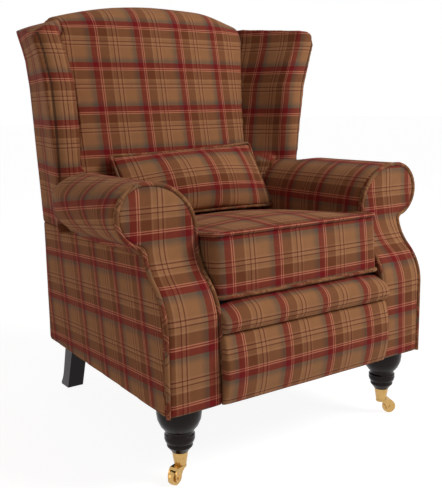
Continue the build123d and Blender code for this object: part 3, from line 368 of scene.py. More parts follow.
def merged_copy(*nodes):
    """One closed mesh from the frame's own nodes, their loose triangles joined."""
    joined = bmesh.new()
    for node in nodes:
        source = frame["nodes"][node]
        mesh = source.data.copy()
        mesh.transform(source.matrix_world)
        joined.from_mesh(mesh)
        bpy.data.meshes.remove(mesh)
    bmesh.ops.remove_doubles(joined, verts=joined.verts, dist=2e-5)
    return joined


def to_piece(built, name):
    """A linked object from a bmesh, which is freed."""
    mesh = bpy.data.meshes.new(name)
    for layer in list(built.loops.layers.uv):
        built.loops.layers.uv.remove(layer)
    built.to_mesh(mesh)
    built.free()
    piece = bpy.data.objects.new(name, mesh)
    bpy.context.scene.collection.objects.link(piece)
    return piece


def apply_modifiers(piece):
    """Gives the piece the mesh that its modifiers make."""
    graph = bpy.context.evaluated_depsgraph_get()
    made = bpy.data.meshes.new_from_object(piece.evaluated_get(graph))
    old = piece.data
    piece.modifiers.clear()
    piece.data = made
    bpy.data.meshes.remove(old)
    made.name = piece.name


def soften(piece, voxel, rounds, factor=0.5):
    """Evenly meshed and rounded, as stuffed cloth is."""
    remesh = piece.modifiers.new("mesh", "REMESH")
    remesh.mode = "VOXEL"
    remesh.voxel_size = voxel
    smooth = piece.modifiers.new("round", "SMOOTH")
    smooth.factor = factor
    smooth.iterations = rounds
    apply_modifiers(piece)


def cut_grid(built, axis, start, end, step):
    """Cuts a flat cover by evenly spaced planes across an axis, so that it can bend."""
    normal = Vector([float(i == axis) for i in range(3)])
    for place in np.arange(start, end, step):
        bmesh.ops.bisect_plane(
            built, geom=built.verts[:] + built.edges[:] + built.faces[:], plane_co=normal * float(place),
            plane_no=normal, dist=1e-5,
        )


def read_points(mesh):
    """A mesh's points as rows, in metres."""
    points = np.empty(len(mesh.vertices) * 3)
    mesh.vertices.foreach_get("co", points)
    return points.reshape(-1, 3)


def read_normals(mesh):
    """The normals at a mesh's points as rows."""
    normals = np.empty(len(mesh.vertices) * 3, dtype=np.float32)
    mesh.vertex_normals.foreach_get("vector", normals)
    return normals.reshape(-1, 3).astype(float)


def write_points(mesh, points):
    """Gives a mesh its points, in metres."""
    mesh.vertices.foreach_set("co", points.ravel())
    mesh.update()


def relax(piece, amount, scale, seed):
    """Moves a cover in and out a little, as hand stretched cloth lies."""
    points, normals = read_points(piece.data), read_normals(piece.data)
    write_points(piece.data, points + normals * (ripple(points, scale, seed) * amount)[:, None])


def lay_cloth(piece, mapper, seam_gap=None):
    """Writes the cover's own map, in metres across and up the cloth, and how near its seam is."""
    mesh = piece.data
    vertex_of = np.empty(len(mesh.loops), dtype=np.int32)
    mesh.loops.foreach_get("vertex_index", vertex_of)
    points = (read_points(mesh) / MM)[vertex_of]
    face_normals = np.empty(len(mesh.polygons) * 3, dtype=np.float32)
    mesh.polygon_normals.foreach_get("vector", face_normals)
    totals = np.empty(len(mesh.polygons), dtype=np.int32)
    mesh.polygons.foreach_get("loop_total", totals)
    normals = np.repeat(face_normals.reshape(-1, 3).astype(float), totals, axis=0)
    maps = [("cloth", mapper(points, normals))]
    if seam_gap:
        near = np.clip(SEAM_REACH / MM - seam_gap(points), 0, None)
        maps.append(("seam", (near, near * 0)))
    for name, (u, v) in maps:
        layer = mesh.uv_layers.get(name) or mesh.uv_layers.new(name=name)
        layer.data.foreach_set("uv", (np.stack([u, v], axis=1) * MM).astype(np.float32).ravel())


def finish_piece(piece, body, material, nodes=(), smooth=True):
    """Material, body and the frame's nodes that the piece stands for."""
    piece.data.materials.clear()
    piece.data.materials.append(material)
    if smooth:
        piece.data.shade_smooth()
    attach(piece, body)
    if nodes:
        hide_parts(*nodes)
    return piece


def soft_piece(name, node, mapper, voxel, rounds, shape=None, wave=0.0006, seed=1.0, seam_gap=None):
    """A stuffed and covered piece that follows its solid."""
    piece = to_piece(merged_copy(node), name)
    soften(piece, voxel, rounds)
    if shape:
        points = read_points(piece.data)
        write_points(piece.data, shape(points / MM, read_normals(piece.data)) * MM)
    relax(piece, wave, WAVE_SCALE, seed)
    lay_cloth(piece, mapper, seam_gap)
    return finish_piece(piece, "chair", materials()["tartan_wool"], (node,))


def tube(name, points, radius, closed):
    """A round cord along points, in metres."""
    curve = bpy.data.curves.new(name, "CURVE")
    curve.dimensions = "3D"
    curve.bevel_depth = radius
    curve.bevel_resolution = 4
    curve.use_fill_caps = True
    curve.twist_mode = "MINIMUM"
    spline = curve.splines.new("POLY")
    spline.points.add(len(points) - 1)
    for knot, place in zip(spline.points, points):
        knot.co = (*place, 1.0)
    spline.use_cyclic_u = closed
    holder = bpy.data.objects.new(name + "_line", curve)
    bpy.context.scene.collection.objects.link(holder)
    graph = bpy.context.evaluated_depsgraph_get()
    mesh = bpy.data.meshes.new_from_object(holder.evaluated_get(graph))
    bpy.data.objects.remove(holder)
    bpy.data.curves.remove(curve)
    built = bmesh.new()
    built.from_mesh(mesh)
    bpy.data.meshes.remove(mesh)
    bmesh.ops.remove_doubles(built, verts=built.verts, dist=1e-6)
    bmesh.ops.recalc_face_normals(built, faces=built.faces)
    return to_piece(built, name)


def piping(name, path, radius, mapper, body, nodes, closed=True, finish="tartan_piping", settle=None):
    """A covered cord along a path in millimetres."""
    cord = tube(name, [point * MM for point in path], radius * MM, closed)
    lay_cloth(cord, mapper)
    if settle:
        settle(cord)
    finish_piece(cord, body, materials()[finish], nodes)


# ---------------------------------------------------------------- how the cloth lies

REPEAT = (120.7, 106.0)
CRIMSON_MIDDLE = 0.06

# Repeats that run on past the first and the last stripe of a cover
REPEATS_PAST = 12

# Where successive crimson stripes cross each cover, in millimetres of the cover's own map:
# first the columns across it, then the rows up it
STRIPES = {
    "inside_back": ((-196, -78, 39, 156), (-635, -531, -422)),
    "outside_back": ((-196, -78, 39, 156), (-847, -741, -635, -529, -423, -317, -211)),
    "seat_cushion": ((-195, -74, 48, 171), (18,)),
    "lumbar": ((-95, 29), (-39, 70)),
    "front_lip": ((-206, -85, 30, 150), (386,)),
    "front_border": ((-192, -73, 44, 161), (229,)),
    "left_facing": ((-372, -249), (177, 291, 414, 530)),
    "right_facing": ((253, 377), (179, 276, 401, 523)),
    "left_arm": ((-337, -232, -132, -54, 46, 146), (592,)),
    "right_arm": ((-337, -234, -132, -20, 90), (357, 481)),
    "panel": ((-380, -277, -163, -61, 35, 146, 252), (216, 323, 432)),
    "left_wing_inside": ((-83, 38), (-925, -824, -719, -612, -503)),
    "left_wing_outside": ((-17, 104), (-925, -824, -719, -612, -503)),
    "right_wing_inside": ((53, 142), (-848, -735, -620)),
    "right_wing_outside": ((-99, 22), (-848, -735, -620)),
}

# The columns of an arm's cover: their bow by the length round the arm, and their fall over the scroll
ARM_BOW = ((480, 541, 591, 656), (0, 14, 0, 33))
ARM_BOW_Y = (-240.0, -160.0)
ARM_FALL = 0.13
ARM_FALL_Y = -190.0
ARM_FALL_PLACE = (480.0, 540.0)

# How far a facing's columns stand over at four heights; the right one leans outwards at its foot
FACING_Z = (200, 400, 550, 620)
FACING_LEAN = {-1: (0, 0, 0, 0), 1: (287, 278, 253, 253)}
FACING_TOP_Z = 640.0

# The inside back's cover below its waist, and over its rolled top
BACK_FOOT_Z = 330.0
BACK_FOOT_IN = 5.0
BACK_ROLL_END = 75
BACK_BEHIND = 120.0
BACK_BEHIND_DOWN = 50.0

# A wing's cover: the angles at its rear corner, how far it laps the rear, and where it meets the back
WING_TURNS = (0.4, 0.8, 1.2)
WING_LAP = 120.0
WING_DEEP = (196.0, 205.0)
WING_SEAM_AHEAD, WING_INNER_AHEAD = 6.0, 2.0
TOP_FACING = 0.6

# The slope of an outside arm's columns and rows, and where each is measured from
PANEL_COLUMN_SLOPE, PANEL_MIDDLE_Z = 0.17, 315.0
PANEL_ROW_SLOPE, PANEL_FRONT_Y = 0.07, -240.0

BORDER_TURN_Y = -368.0
BORDER_TURN_MOST = 60.0
CUSHION_TOP_FACING = 0.62


def laid_out(cover, across, up):
    """Moves a cover's map so that its crimson stripes fall where they lie on it."""
    moved = []
    for place, stripes, pitch in zip((across, up), STRIPES[cover], REPEAT):
        past = REPEATS_PAST * pitch
        counts = np.array([-REPEATS_PAST, *range(len(stripes)), len(stripes) - 1 + REPEATS_PAST])
        knots = [stripes[0] - past, *stripes, stripes[-1] + past]
        moved.append(np.interp(place, knots, (counts + CRIMSON_MIDDLE) * pitch))
    return moved


def on_arm(side):
    """Columns from front to rear, bowed round the scroll, and rows over the crest and round."""
    line = arm_line()

    def mapper(points, normals):
        y = points[:, 1]
        place, _ = nearest_on(line, points[:, 0] * side, points[:, 2])
        bow = np.interp(place, *ARM_BOW) * rise(y, *ARM_BOW_Y)
        fall = ARM_FALL * (y - ARM_FALL_Y) * rise(place, *ARM_FALL_PLACE)
        return laid_out(SIDES[side] + "_arm", y + bow, place - fall)

    return mapper


def on_facing(side):
    """Columns by width, rows along the face as it bends back."""
    heights = np.arange(UNDERSIDE_Z - 10, FACING_TOP_Z, 5.0)
    steps = np.hypot(np.diff(heights), np.diff(ogee_back(heights)))
    lengths = np.concatenate([[0.0], np.cumsum(steps)]) + heights[0]
    lean = FACING_LEAN[side]

    def mapper(points, normals):
        x, _, z = points.T
        across = x - np.interp(z, FACING_Z, lean) + lean[-1]
        return laid_out(SIDES[side] + "_facing", across, np.interp(z, heights, lengths))

    return mapper


def on_back(points, normals):
    """Columns over the inside back and its rolled top, rows by height."""
    x, y, z = points.T
    crown = BACK_CROWN * (x / BACK_SIDE_X) ** 2
    drop = ARCH_DROP * (x / ARCH_HALF_W) ** 2
    waist_y, waist_z = BACK_WAIST
    roll_z = BACK_TOP_Z - BACK_ROLL_R
    climb = roll_z + BACK_ROLL_R * math.sin(BACK_RAKE) - waist_z
    roll_y = waist_y + math.tan(BACK_RAKE) * climb + BACK_ROLL_R * math.cos(BACK_RAKE)
    line = [(waist_y - BACK_FOOT_IN, BACK_FOOT_Z), BACK_WAIST]
    line += arc(roll_y, roll_z, BACK_ROLL_R, 180 - math.degrees(BACK_RAKE), BACK_ROLL_END, count=14)
    line += [(roll_y + BACK_BEHIND, BACK_TOP_Z - BACK_BEHIND_DOWN)]
    place, _ = nearest_on(line, y - crown, z + drop)
    return laid_out("inside_back", x, drop - place)


def on_wing(side):
    """Inside cover from its seam at the outer front corner inwards, outside cover from there back."""

    def mapper(points, normals):
        x, y, z = points[:, 0] * side, points[:, 1], points[:, 2]
        outer, inner = wing_seam_x(side, z), np.interp(z, WING_Z, WING_INNER_X)
        back = REAR_Y + np.clip(z - LEAN_FROM_Z, 0, None) * LEAN
        turn = REAR_CORNER[2]
        middle_x, middle_y = REAR_CORNER[0] + np.interp(z, WING_Z, WING_FLARE), back - turn
        outside = [(outer, WING_FRONT_Y), (middle_x + turn, middle_y)]
        outside += [(middle_x + turn * math.cos(a), middle_y + turn * math.sin(a)) for a in WING_TURNS]
        outside += [(middle_x, back), (middle_x - WING_LAP, back)]
        inside = [
            (outer, WING_FRONT_Y - WING_SEAM_AHEAD), (inner, WING_FRONT_Y - WING_INNER_AHEAD), WING_DEEP
        ]
        out_place, out_gap = nearest_on(outside, x, y)
        in_place, in_gap = nearest_on(inside, x, y)
        top = normals[:, 2] > TOP_FACING
        behind = (out_gap < in_gap) & ~top
        out_map = laid_out(SIDES[side] + "_wing_outside", -side * out_place, -z)
        in_map = laid_out(SIDES[side] + "_wing_inside", side * in_place, -z - np.where(top, in_gap, 0.0))
        return [np.where(behind, a, b) for a, b in zip(out_map, in_map)]

    return mapper


def on_border(cover):
    """Columns by width, rows up the front and back over its top."""

    def mapper(points, normals):
        x, y, z = points.T
        return laid_out(cover, x, z + np.clip(y - BORDER_TURN_Y, 0, BORDER_TURN_MOST))

    return mapper


def on_panel(points, normals):
    """Columns along an outside arm and round its rear corner, rows up it."""
    x, y, z = points.T
    centre_x, centre_y, radius = REAR_CORNER
    angle = np.arctan2(np.clip(y - centre_y, 0, None), np.clip(np.abs(x) - centre_x, 0.001, None))
    place = np.minimum(y, centre_y) + np.where(y > centre_y, angle * radius, 0.0)
    across = place - PANEL_COLUMN_SLOPE * (z - PANEL_MIDDLE_Z)
    return laid_out("panel", across, z + PANEL_ROW_SLOPE * (place - PANEL_FRONT_Y))


def on_rear(points, normals):
    """Columns by width and rows by height on the outside back."""
    return laid_out("outside_back", points[:, 0], -points[:, 2])


def on_seat_cushion(points, normals):
    """Columns over the cushion from front to rear, and its border wrapped round the sides."""
    x, y, z = into(seat_frame(), points).T
    facing = normals @ np.array(seat_frame().to_3x3().inverted()).T
    round_x = np.where(x >= 0, 1.0, -1.0) * (np.abs(x) + np.clip(y, 0, None))
    top = np.abs(facing[:, 2]) > CUSHION_TOP_FACING
    side = np.abs(facing[:, 0]) > np.abs(facing[:, 1])
    across = np.where(top | ~side, x, round_x)
    up = np.where(top, np.where(facing[:, 2] > 0, CUSHION_EDGE_H + y, -y), z)
    return laid_out("seat_cushion", across, up)


def on_lumbar(points, normals):
    """Columns and rows square to the lumbar cushion's edges."""
    place = into(lumbar_frame(), points)
    return laid_out("lumbar", place[:, 0], place[:, 1])


# ---------------------------------------------------------------- materials

FINISHES = {}

# The stitched line along a seam, painted dark for its thread and as painted shade of the seam's groove: half
# its width, its colour, how much of it shows and how sharp it is
SEAM_HALF_W = 0.0038
SEAM_STITCH_SHADE_COLOUR = (0.03, 0.012, 0.006, 1.0)
SEAM_STITCH_SHADE_SHARE = 0.75
SEAM_STEEPNESS = 2.0

# Piping shows the check less, over its ground in the shade
PIPING_SHADE = 0.62

# Lining and webbing: the colour of their shade and how much of it shows, and a wave's length by its scale
PLAIN_SHADE = 0.55
PLAIN_SHADE_SHARE = 0.6
WAVE_LENGTH = 6.3

# Sockets of the Mix node that blends two colours
MIX_SHARE, MIX_FIRST, MIX_SECOND, MIX_RESULT = 0, 6, 7, 2

# Each thread's colour, and how much it covers the one that it crosses
THREADS = {
    "crimson": ("crimson", 1.0), "between": ("crimson", 0.85), "overline": ("overline", 0.6),
    "brown": ("brown", 0.5), "light": ("light", 0.4), "dark": ("dark", 0.75), "tan": ("tan", 0.3),
    "slate": ("slate", 0.4),
}

# Where each band of threads begins and ends in one repeat of the check
SETT = (
    ("crimson", 0.000, 0.114), ("overline", 0.120, 0.134), ("between", 0.140, 0.156),
    ("overline", 0.162, 0.176), ("brown", 0.183, 0.372), ("light", 0.384, 0.408), ("tan", 0.416, 0.470),
    ("light", 0.478), ("dark", 0.484, 0.502), ("light", 0.508, 0.566), ("dark", 0.572, 0.590),
    ("light", 0.597, 0.622), ("tan", 0.640, 0.840), ("slate", 0.950, 0.990), ("crimson", 0.999),
)

# The twill moves on by a quarter at each thread, and a little under half of it shows the weft
TWILL_STEP = 0.25
TWILL_OVER = 0.45

WOOD_STRETCH = (55.0, 55.0, 5.0)
GRAIN_COLOUR = (0.02, 0.01, 0.008, 1.0)


def feed(tree, node, values):
    """Sets a node's inputs, each to a value or to another node's output."""
    for label, value in values.items():
        if isinstance(value, bpy.types.NodeSocket):
            tree.links.new(value, node.inputs[label])
        else:
            node.inputs[label].default_value = value
    return node


def add_node(tree, kind, values):
    """A shader node with its inputs set."""
    return feed(tree, tree.nodes.new("ShaderNode" + kind), values)


def maths(tree, operation, *terms):
    """The result of a sum on values, each a number or another node's output."""
    node = tree.nodes.new("ShaderNodeMath")
    node.operation = operation
    return feed(tree, node, dict(enumerate(terms))).outputs[0]


def spread(tree, value, least, most):
    """A value from 0 to 1, spread out from least to most."""
    return maths(tree, "MULTIPLY_ADD", value, most - least, least)


def weighed(tree, *terms):
    """Sum of values, each times its weight."""
    total = None
    for value, weight in terms:
        part = maths(tree, "MULTIPLY", value, weight)
        total = part if total is None else maths(tree, "ADD", total, part)
    return total


def blend_colour(tree, share, first, second, mode="MIX"):
    """The second colour over the first by a share."""
    node = tree.nodes.new("ShaderNodeMix")
    node.data_type = "RGBA"
    node.blend_type = mode
    feed(tree, node, {MIX_SHARE: share, MIX_FIRST: first, MIX_SECOND: second})
    return node.outputs[MIX_RESULT]


def toned(tree, colour, tone):
    """A colour made lighter or darker by a value."""
    grey = add_node(tree, "CombineXYZ", {0: tone, 1: tone, 2: tone})
    return blend_colour(tree, 1.0, colour, grey.outputs[0], "MULTIPLY")


def cloud(tree, vector, values):
    """Cloudy noise over a vector."""
    return add_node(tree, "TexNoise", {"Vector": vector, **values}).outputs[0]


def new_group(name, values):
    """An effect over a vector that puts out colour, height and roughness: its tree, inputs and outputs."""
    tree = bpy.data.node_groups.new(name, "ShaderNodeTree")
    tree.interface.new_socket("Vector", in_out="INPUT", socket_type="NodeSocketVector")
    for label, default in values.items():
        kind = "NodeSocketFloat" if isinstance(default, float) else "NodeSocketColor"
        tree.interface.new_socket(label, in_out="INPUT", socket_type=kind).default_value = default
    for label, kind in (("Color", "Color"), ("Height", "Float"), ("Roughness", "Float")):
        tree.interface.new_socket(label, in_out="OUTPUT", socket_type="NodeSocket" + kind)
    return tree, tree.nodes.new("NodeGroupInput").outputs, tree.nodes.new("NodeGroupOutput")


def sett_ramp(tree, check, place):
    """One repeat of the check's threads as a colour ramp, whose alpha is how much each stripe covers."""
    ramp = add_node(tree, "ValToRGB", {0: place})
    ramp.color_ramp.interpolation = "LINEAR"
    stops = [(place_at, *THREADS[thread]) for thread, *places in SETT for place_at in places]
    points = ramp.color_ramp.elements
    while len(points) < len(stops):
        points.new(0.5)
    for point, (place_at, colour, cover) in zip(points, stops):
        point.position = place_at
        point.color = (*getattr(check, colour), cover)
    return ramp.outputs


def check_group(check):
    """Woven wool check: two sets of coloured threads crossing in a twill."""
    tree, given, sink = new_group("wool_check", {"Across": 0.12, "Up": 0.1, "Thread": 0.001})
    u, v, _ = add_node(tree, "SeparateXYZ", {0: given["Vector"]}).outputs
    warp, weft = (
        sett_ramp(tree, check, maths(tree, "FRACT", maths(tree, "DIVIDE", place, given[label])))
        for place, label in ((u, "Across"), (v, "Up"))
    )
    row, pick = (maths(tree, "DIVIDE", place, given["Thread"]) for place in (u, v))
    steps = maths(tree, "ADD", maths(tree, "FLOOR", row), maths(tree, "FLOOR", pick))
    twill = maths(tree, "FRACT", maths(tree, "MULTIPLY", steps, TWILL_STEP))
    over = maths(tree, "LESS_THAN", twill, TWILL_OVER)
    covering = maths(tree, "ADD", warp["Alpha"], weft["Alpha"])
    share = maths(tree, "DIVIDE", weft["Alpha"], covering)
    share = maths(tree, "ADD", share, spread(tree, over, least=-0.18, most=0.22))
    cloth = blend_colour(tree, share, warp["Color"], weft["Color"])
    wool = cloud(tree, given["Vector"], {"Scale": 34.0, "Detail": 5.0, "Roughness": 0.7})
    ridges = [(maths(tree, "SINE", maths(tree, "MULTIPLY", n, 2 * math.pi)), 0.2) for n in (row, pick)]
    feed(tree, sink, {
        "Color": toned(tree, cloth, spread(tree, wool, least=0.83, most=1.17)),
        "Height": weighed(tree, *ridges, (over, 0.3), (wool, 0.9)),
        "Roughness": spread(tree, wool, least=0.78, most=0.98),
    })
    return tree


def grain_group():
    """Wood grain drawn out along one direction."""
    tree, given, sink = new_group("wood_grain", {"Base": (0.5, 0.3, 0.2, 1), "Depth": 0.3})
    stretch = add_node(tree, "Mapping", {"Vector": given["Vector"], "Scale": WOOD_STRETCH}).outputs[0]
    rings = cloud(tree, stretch, {"Scale": 1.0, "Detail": 8.0, "Distortion": 0.8})
    pores = cloud(tree, stretch, {"Scale": 7.0, "Detail": 3.0})
    dark = blend_colour(tree, given["Depth"], given["Base"], GRAIN_COLOUR)
    feed(tree, sink, {
        "Color": blend_colour(tree, rings, given["Base"], dark),
        "Height": maths(tree, "ADD", rings, maths(tree, "MULTIPLY", pores, 0.5)),
        "Roughness": spread(tree, pores, least=-0.08, most=0.08),
    })
    return tree


def wear_group():
    """Fine scratches and handling marks on metal."""
    tree, given, sink = new_group("metal_wear", {"Base": (0.8, 0.6, 0.3, 1)})
    marks = cloud(tree, given["Vector"], {"Scale": 160.0, "Detail": 4.0})
    feed(tree, sink, {
        "Color": toned(tree, given["Base"], spread(tree, marks, least=0.72, most=1.22)),
        "Height": cloud(tree, given["Vector"], {"Scale": 1500.0}),
        "Roughness": spread(tree, marks, least=0.06, most=0.36),
    })
    return tree


def material_base(name):
    """A new material, its nodes and its shader."""
    material = bpy.data.materials.new(name)
    material.use_nodes = True
    tree = material.node_tree
    return material, tree, tree.nodes["Principled BSDF"]


def own_space(tree):
    """The piece's own Object coordinates."""
    return tree.nodes.new("ShaderNodeTexCoord").outputs["Object"]


def own_map(tree, name):
    """One of the piece's own UV maps."""
    lie = tree.nodes.new("ShaderNodeUVMap")
    lie.uv_map = name
    return lie.outputs[0]


def bump(tree, height, strength, distance):
    """A normal from a height."""
    values = {"Strength": strength, "Distance": distance, "Height": height}
    return add_node(tree, "Bump", values).outputs[0]


def use_group(tree, group, shader, values, strength, distance):
    """Places an effect in a material, its colour and its height."""
    node = tree.nodes.new("ShaderNodeGroup")
    node.node_tree = group
    feed(tree, node, values)
    relief = bump(tree, node.outputs["Height"], strength, distance)
    feed(tree, shader, {"Base Color": node.outputs["Color"], "Normal": relief})
    return node.outputs


def cloth_material(name, group, check, turn=0.0, plain=0.0):
    material, tree, shader = material_base(name)
    bias = add_node(tree, "Mapping", {"Vector": own_map(tree, "cloth"), "Rotation": (0.0, 0.0, turn)})
    values = {
        "Vector": bias.outputs[0], "Across": check.repeat_across, "Up": check.repeat_up, "Thread": check.thread,
    }
    made = use_group(tree, group, shader, values, strength=0.55, distance=0.0006)
    # Painted seam line: dark stitching thread and painted shade of the seam's groove, laid over the cloth's
    # colour
    near = add_node(tree, "SeparateXYZ", {0: own_map(tree, "seam")}).outputs[0]
    line = maths(tree, "MULTIPLY", maths(tree, "SUBTRACT", near, SEAM_REACH - SEAM_HALF_W), 1 / SEAM_HALF_W)
    line = maths(tree, "MAXIMUM", maths(tree, "MULTIPLY", line, SEAM_STEEPNESS), 0.0)
    line = maths(tree, "MINIMUM", line, 1.0)
    colour = blend_colour(tree, plain, made["Color"], (*(c * PIPING_SHADE for c in check.tan), 1.0))
    colour = blend_colour(tree, maths(tree, "MULTIPLY", line, SEAM_STITCH_SHADE_SHARE), colour, SEAM_STITCH_SHADE_COLOUR)
    feed(tree, shader, {
        "Base Color": colour, "Roughness": made["Roughness"], "Specular IOR Level": 0.2, "Sheen Weight": 0.06,
        "Sheen Tint": (1.0, 0.62, 0.42, 1.0), "Sheen Roughness": 0.5,
    })
    return material


def plain_cloth(name, colour, thread):
    """Plain woven cloth: lining and webbing."""
    material, tree, shader = material_base(name)
    place = own_space(tree)
    weave = add_node(tree, "TexWave", {"Vector": place, "Scale": 1.0 / thread / WAVE_LENGTH, "Distortion": 1.5})
    tone = cloud(tree, place, {"Scale": 60.0, "Detail": 6.0})
    shade = tuple(c * PLAIN_SHADE for c in colour)
    share = maths(tree, "MULTIPLY", tone, PLAIN_SHADE_SHARE)
    relief = maths(tree, "ADD", weave.outputs[0], tone)
    feed(tree, shader, {
        "Base Color": blend_colour(tree, share, (*colour, 1.0), (*shade, 1.0)),
        "Normal": bump(tree, relief, strength=0.5, distance=0.0004),
        "Roughness": spread(tree, tone, least=0.8, most=0.95),
    })
    return material


def wood_material(name, group, colour, depth, roughness, coat):
    """Grained wood, lacquered by its coat or left sawn."""
    material, tree, shader = material_base(name)
    values = {"Vector": own_space(tree), "Base": (*colour, 1.0), "Depth": depth}
    made = use_group(tree, group, shader, values, strength=0.12, distance=0.0002)
    feed(tree, shader, {
        "Roughness": maths(tree, "ADD", made["Roughness"], roughness), "Coat Weight": coat,
        "Coat Roughness": 0.06, "Specular IOR Level": 0.09,
    })
    return material


def metal_material(name, group, colour, strength):
    """Handled metal, its scratches as deep as the strength."""
    material, tree, shader = material_base(name)
    values = {"Vector": own_space(tree), "Base": (*colour, 1.0)}
    made = use_group(tree, group, shader, values, strength, distance=0.0001)
    feed(tree, shader, {"Roughness": made["Roughness"], "Metallic": 1.0})
    return material


def materials():
    """All the chair's finishes by slot, made once."""
    if not FINISHES:
        scene = bpy.context.scene
        check, finish = scene.fireside_check, scene.fireside_finish
        weave, grain, wear = check_group(check), grain_group(), wear_group()
        FINISHES.update(
            tartan_wool=cloth_material("check_cover", weave, check),
            tartan_piping=cloth_material("check_piping", weave, check, turn=math.radians(45), plain=0.3),
            lining=plain_cloth("black_lining", paint(26, 24, 24), thread=0.0012),
            webbing=plain_cloth("jute_webbing", paint(168, 142, 104), thread=0.0022),
            dark_wood=wood_material(
                "lacquered_legs", grain, finish.lacquer, depth=0.6, roughness=0.24, coat=0.14
            ),
            beech=wood_material("sawn_beech", grain, finish.beech, depth=0.35, roughness=0.62, coat=0.0),
            brass=metal_material("polished_brass", wear, finish.brass, strength=0.05),
            steel=metal_material("plated_steel", wear, paint(158, 158, 162), strength=0.1),
        )
    return FINISHES


# ---------------------------------------------------------------- how the padding has settled

# In each pair below, in millimetres, a move begins at the first place and is full at the second.
# A name that ends in FACING limits a move to cloth whose normal leans that far.

# The pleats round an arm's scroll: depth, how many in a turn, how far from the front and on which part
PLEAT_DEPTH, PLEAT_TURNS, PLEAT_LENGTH = 1.2, 26.0, 30.0
PLEAT_FRONT_Y, PLEAT_OFF, PLEAT_X = 14.0, 9.0, 320.0

# An arm's rear end closes towards its scroll's middle, under the middle and over it
CLOSING, CLOSING_Y, CLOSING_MOST = 0.34, (-15.0, 50.0), 1.3
CLOSING_UNDER_X, CLOSING_OVER_X = (332.0, 366.0), (300.0, 343.0)

FACING_PUFF, FACING_PUFF_W, FACING_PUFF_DEEP = 3.5, 14.0, 7.0

# The inside back: its crown, a high spot at the top right, and its sides beside the hollows
CROWN, CROWN_HALF_W, CROWN_LOW_Z, CROWN_HIGH_Z = 4.0, 235.0, (480.0, 600.0), (1000.0, 920.0)
CROWN_FACING, FLANK_FACING = -0.5, -0.15
HIGH_SPOT, HIGH_SPOT_X, HIGH_SPOT_Z = 6.0, (160.0, 65.0), (930.0, 980.0)
FLANK, FLANK_OVER, FLANK_BACK = (-40.0, 0.0), 4.0, 0.15

# A wing's outer edge and top, and the hollow inside it, which fades to its rear
EDGE_X, TOP_Z, TOP_X = (285.0, 345.0), (830.0, 920.0), (290.0, 390.0)
HOLLOW_SHARE, HOLLOW_MOST, HOLLOW_Y, HOLLOW_LAP = 1.1, 1.2, (310.0, 260.0), 12.0

# A wing's inner rear edge is pulled in
REAR_EDGE_IN, REAR_EDGE_X, REAR_EDGE_Y, REAR_EDGE_Z = 9.0, 292.0, (295.0, 320.0), (480.0, 500.0)

# A wing's foot laps the arm's closed rear end: outwards, forwards, and down under its edge
FOOT_FRONT_Y, FOOT_REAR_Y, FOOT_Z = (105.0, 125.0), (185.0, 145.0), (625.0, 600.0)
FOOT_OUT_TO_X, FOOT_OUT_MOST, FOOT_OUT_X = 354.0, 45.0, (292.0, 306.0)
FOOT_FORWARD, FOOT_DOWN, FOOT_DOWN_Z = 34.0, 6.0, 484.0
SKIRT_DOWN, SKIRT_FACING, SKIRT_Y, SKIRT_Z = 50.0, (0.3, 0.6), (130.0, 120.0), 628.0

# The wing's board behind the arm, which the cover clears: a point on its face, and the face's slope
BOARD_X, BOARD_Y, BOARD_SLOPE = 268.0, 316.3, 0.416
BOARD_MOST, BOARD_FRONT_Y, BOARD_Z = 20.0, 235.0, (575.0, 545.0)

# The groove along a wing's seam, and the fullness of its front, by middle and width up and across
GROOVE_DEPTH, GROOVE_W = 3.0, 6.0
FULLNESS, FULLNESS_Z, FULLNESS_X, FULLNESS_FACING = 5.0, (740.0, 200.0), (330.0, 40.0), -0.2

# The puckers at the seam between border and lip, and the lip's settled ends
PUCKER, PUCKER_W, PUCKER_Y, PUCKER_SCALE, PUCKER_STRETCH = 1.6, 16.0, -350.0, 34.0, (1.0, 0.2, 0.2)
LIP_GROOVE, LIP_GROOVE_W = 1.5, 3.0
LIP_DOWN, LIP_END_X, LIP_UPPER, LIP_Y = 11.0, (130.0, 220.0), (8.0, 48.0), -300.0

# How far each corner of the lumbar cushion has settled: across, up and forward, lower corners first
LUMBAR_SETTLED = (((-5, -6, 8), (8, -8, 22)), ((-10, -20, 0), (1, -4, 0)))


def settled_arm(side):
    """An arm's cover: pleated round the scroll's front, and closed in where it meets the wing."""

    def shape(points, normals):
        x, y, z = points.T
        behind = np.clip(y - (FACING_FRONT_Y + PLEAT_FRONT_Y + ogee_back(z)), 0, None)
        _, off = nearest_on(arm_line(), x * side, z)
        angle = np.arctan2(z - SCROLL[1], x * side - SCROLL[0])
        outer = (off < PLEAT_OFF) & (x * side > PLEAT_X)
        pleats = PLEAT_DEPTH * np.sin(angle * PLEAT_TURNS) * np.exp(-behind / PLEAT_LENGTH) * outer
        moved = points + normals * pleats[:, None]
        outer_part = np.where(
            z < SCROLL[1], rise(x * side, *CLOSING_UNDER_X), rise(x * side, *CLOSING_OVER_X)
        )
        closing = CLOSING * rise(y, *CLOSING_Y, CLOSING_MOST) ** 2 * outer_part
        moved[:, 2] += (SCROLL[1] - z) * closing
        return moved

    return shape


def puffed_facing(side):
    """A facing's front, which stands out inside its edge."""

    def shape(points, normals):
        x, y, z = points.T
        _, off = nearest_on(arm_line(), x * side, z)
        front = y < FACING_FRONT_Y + ogee_back(z) + FACING_PUFF_DEEP
        moved = points.copy()
        moved[:, 1] -= FACING_PUFF * (1 - np.exp(-off / FACING_PUFF_W)) * front
        return moved

    return shape


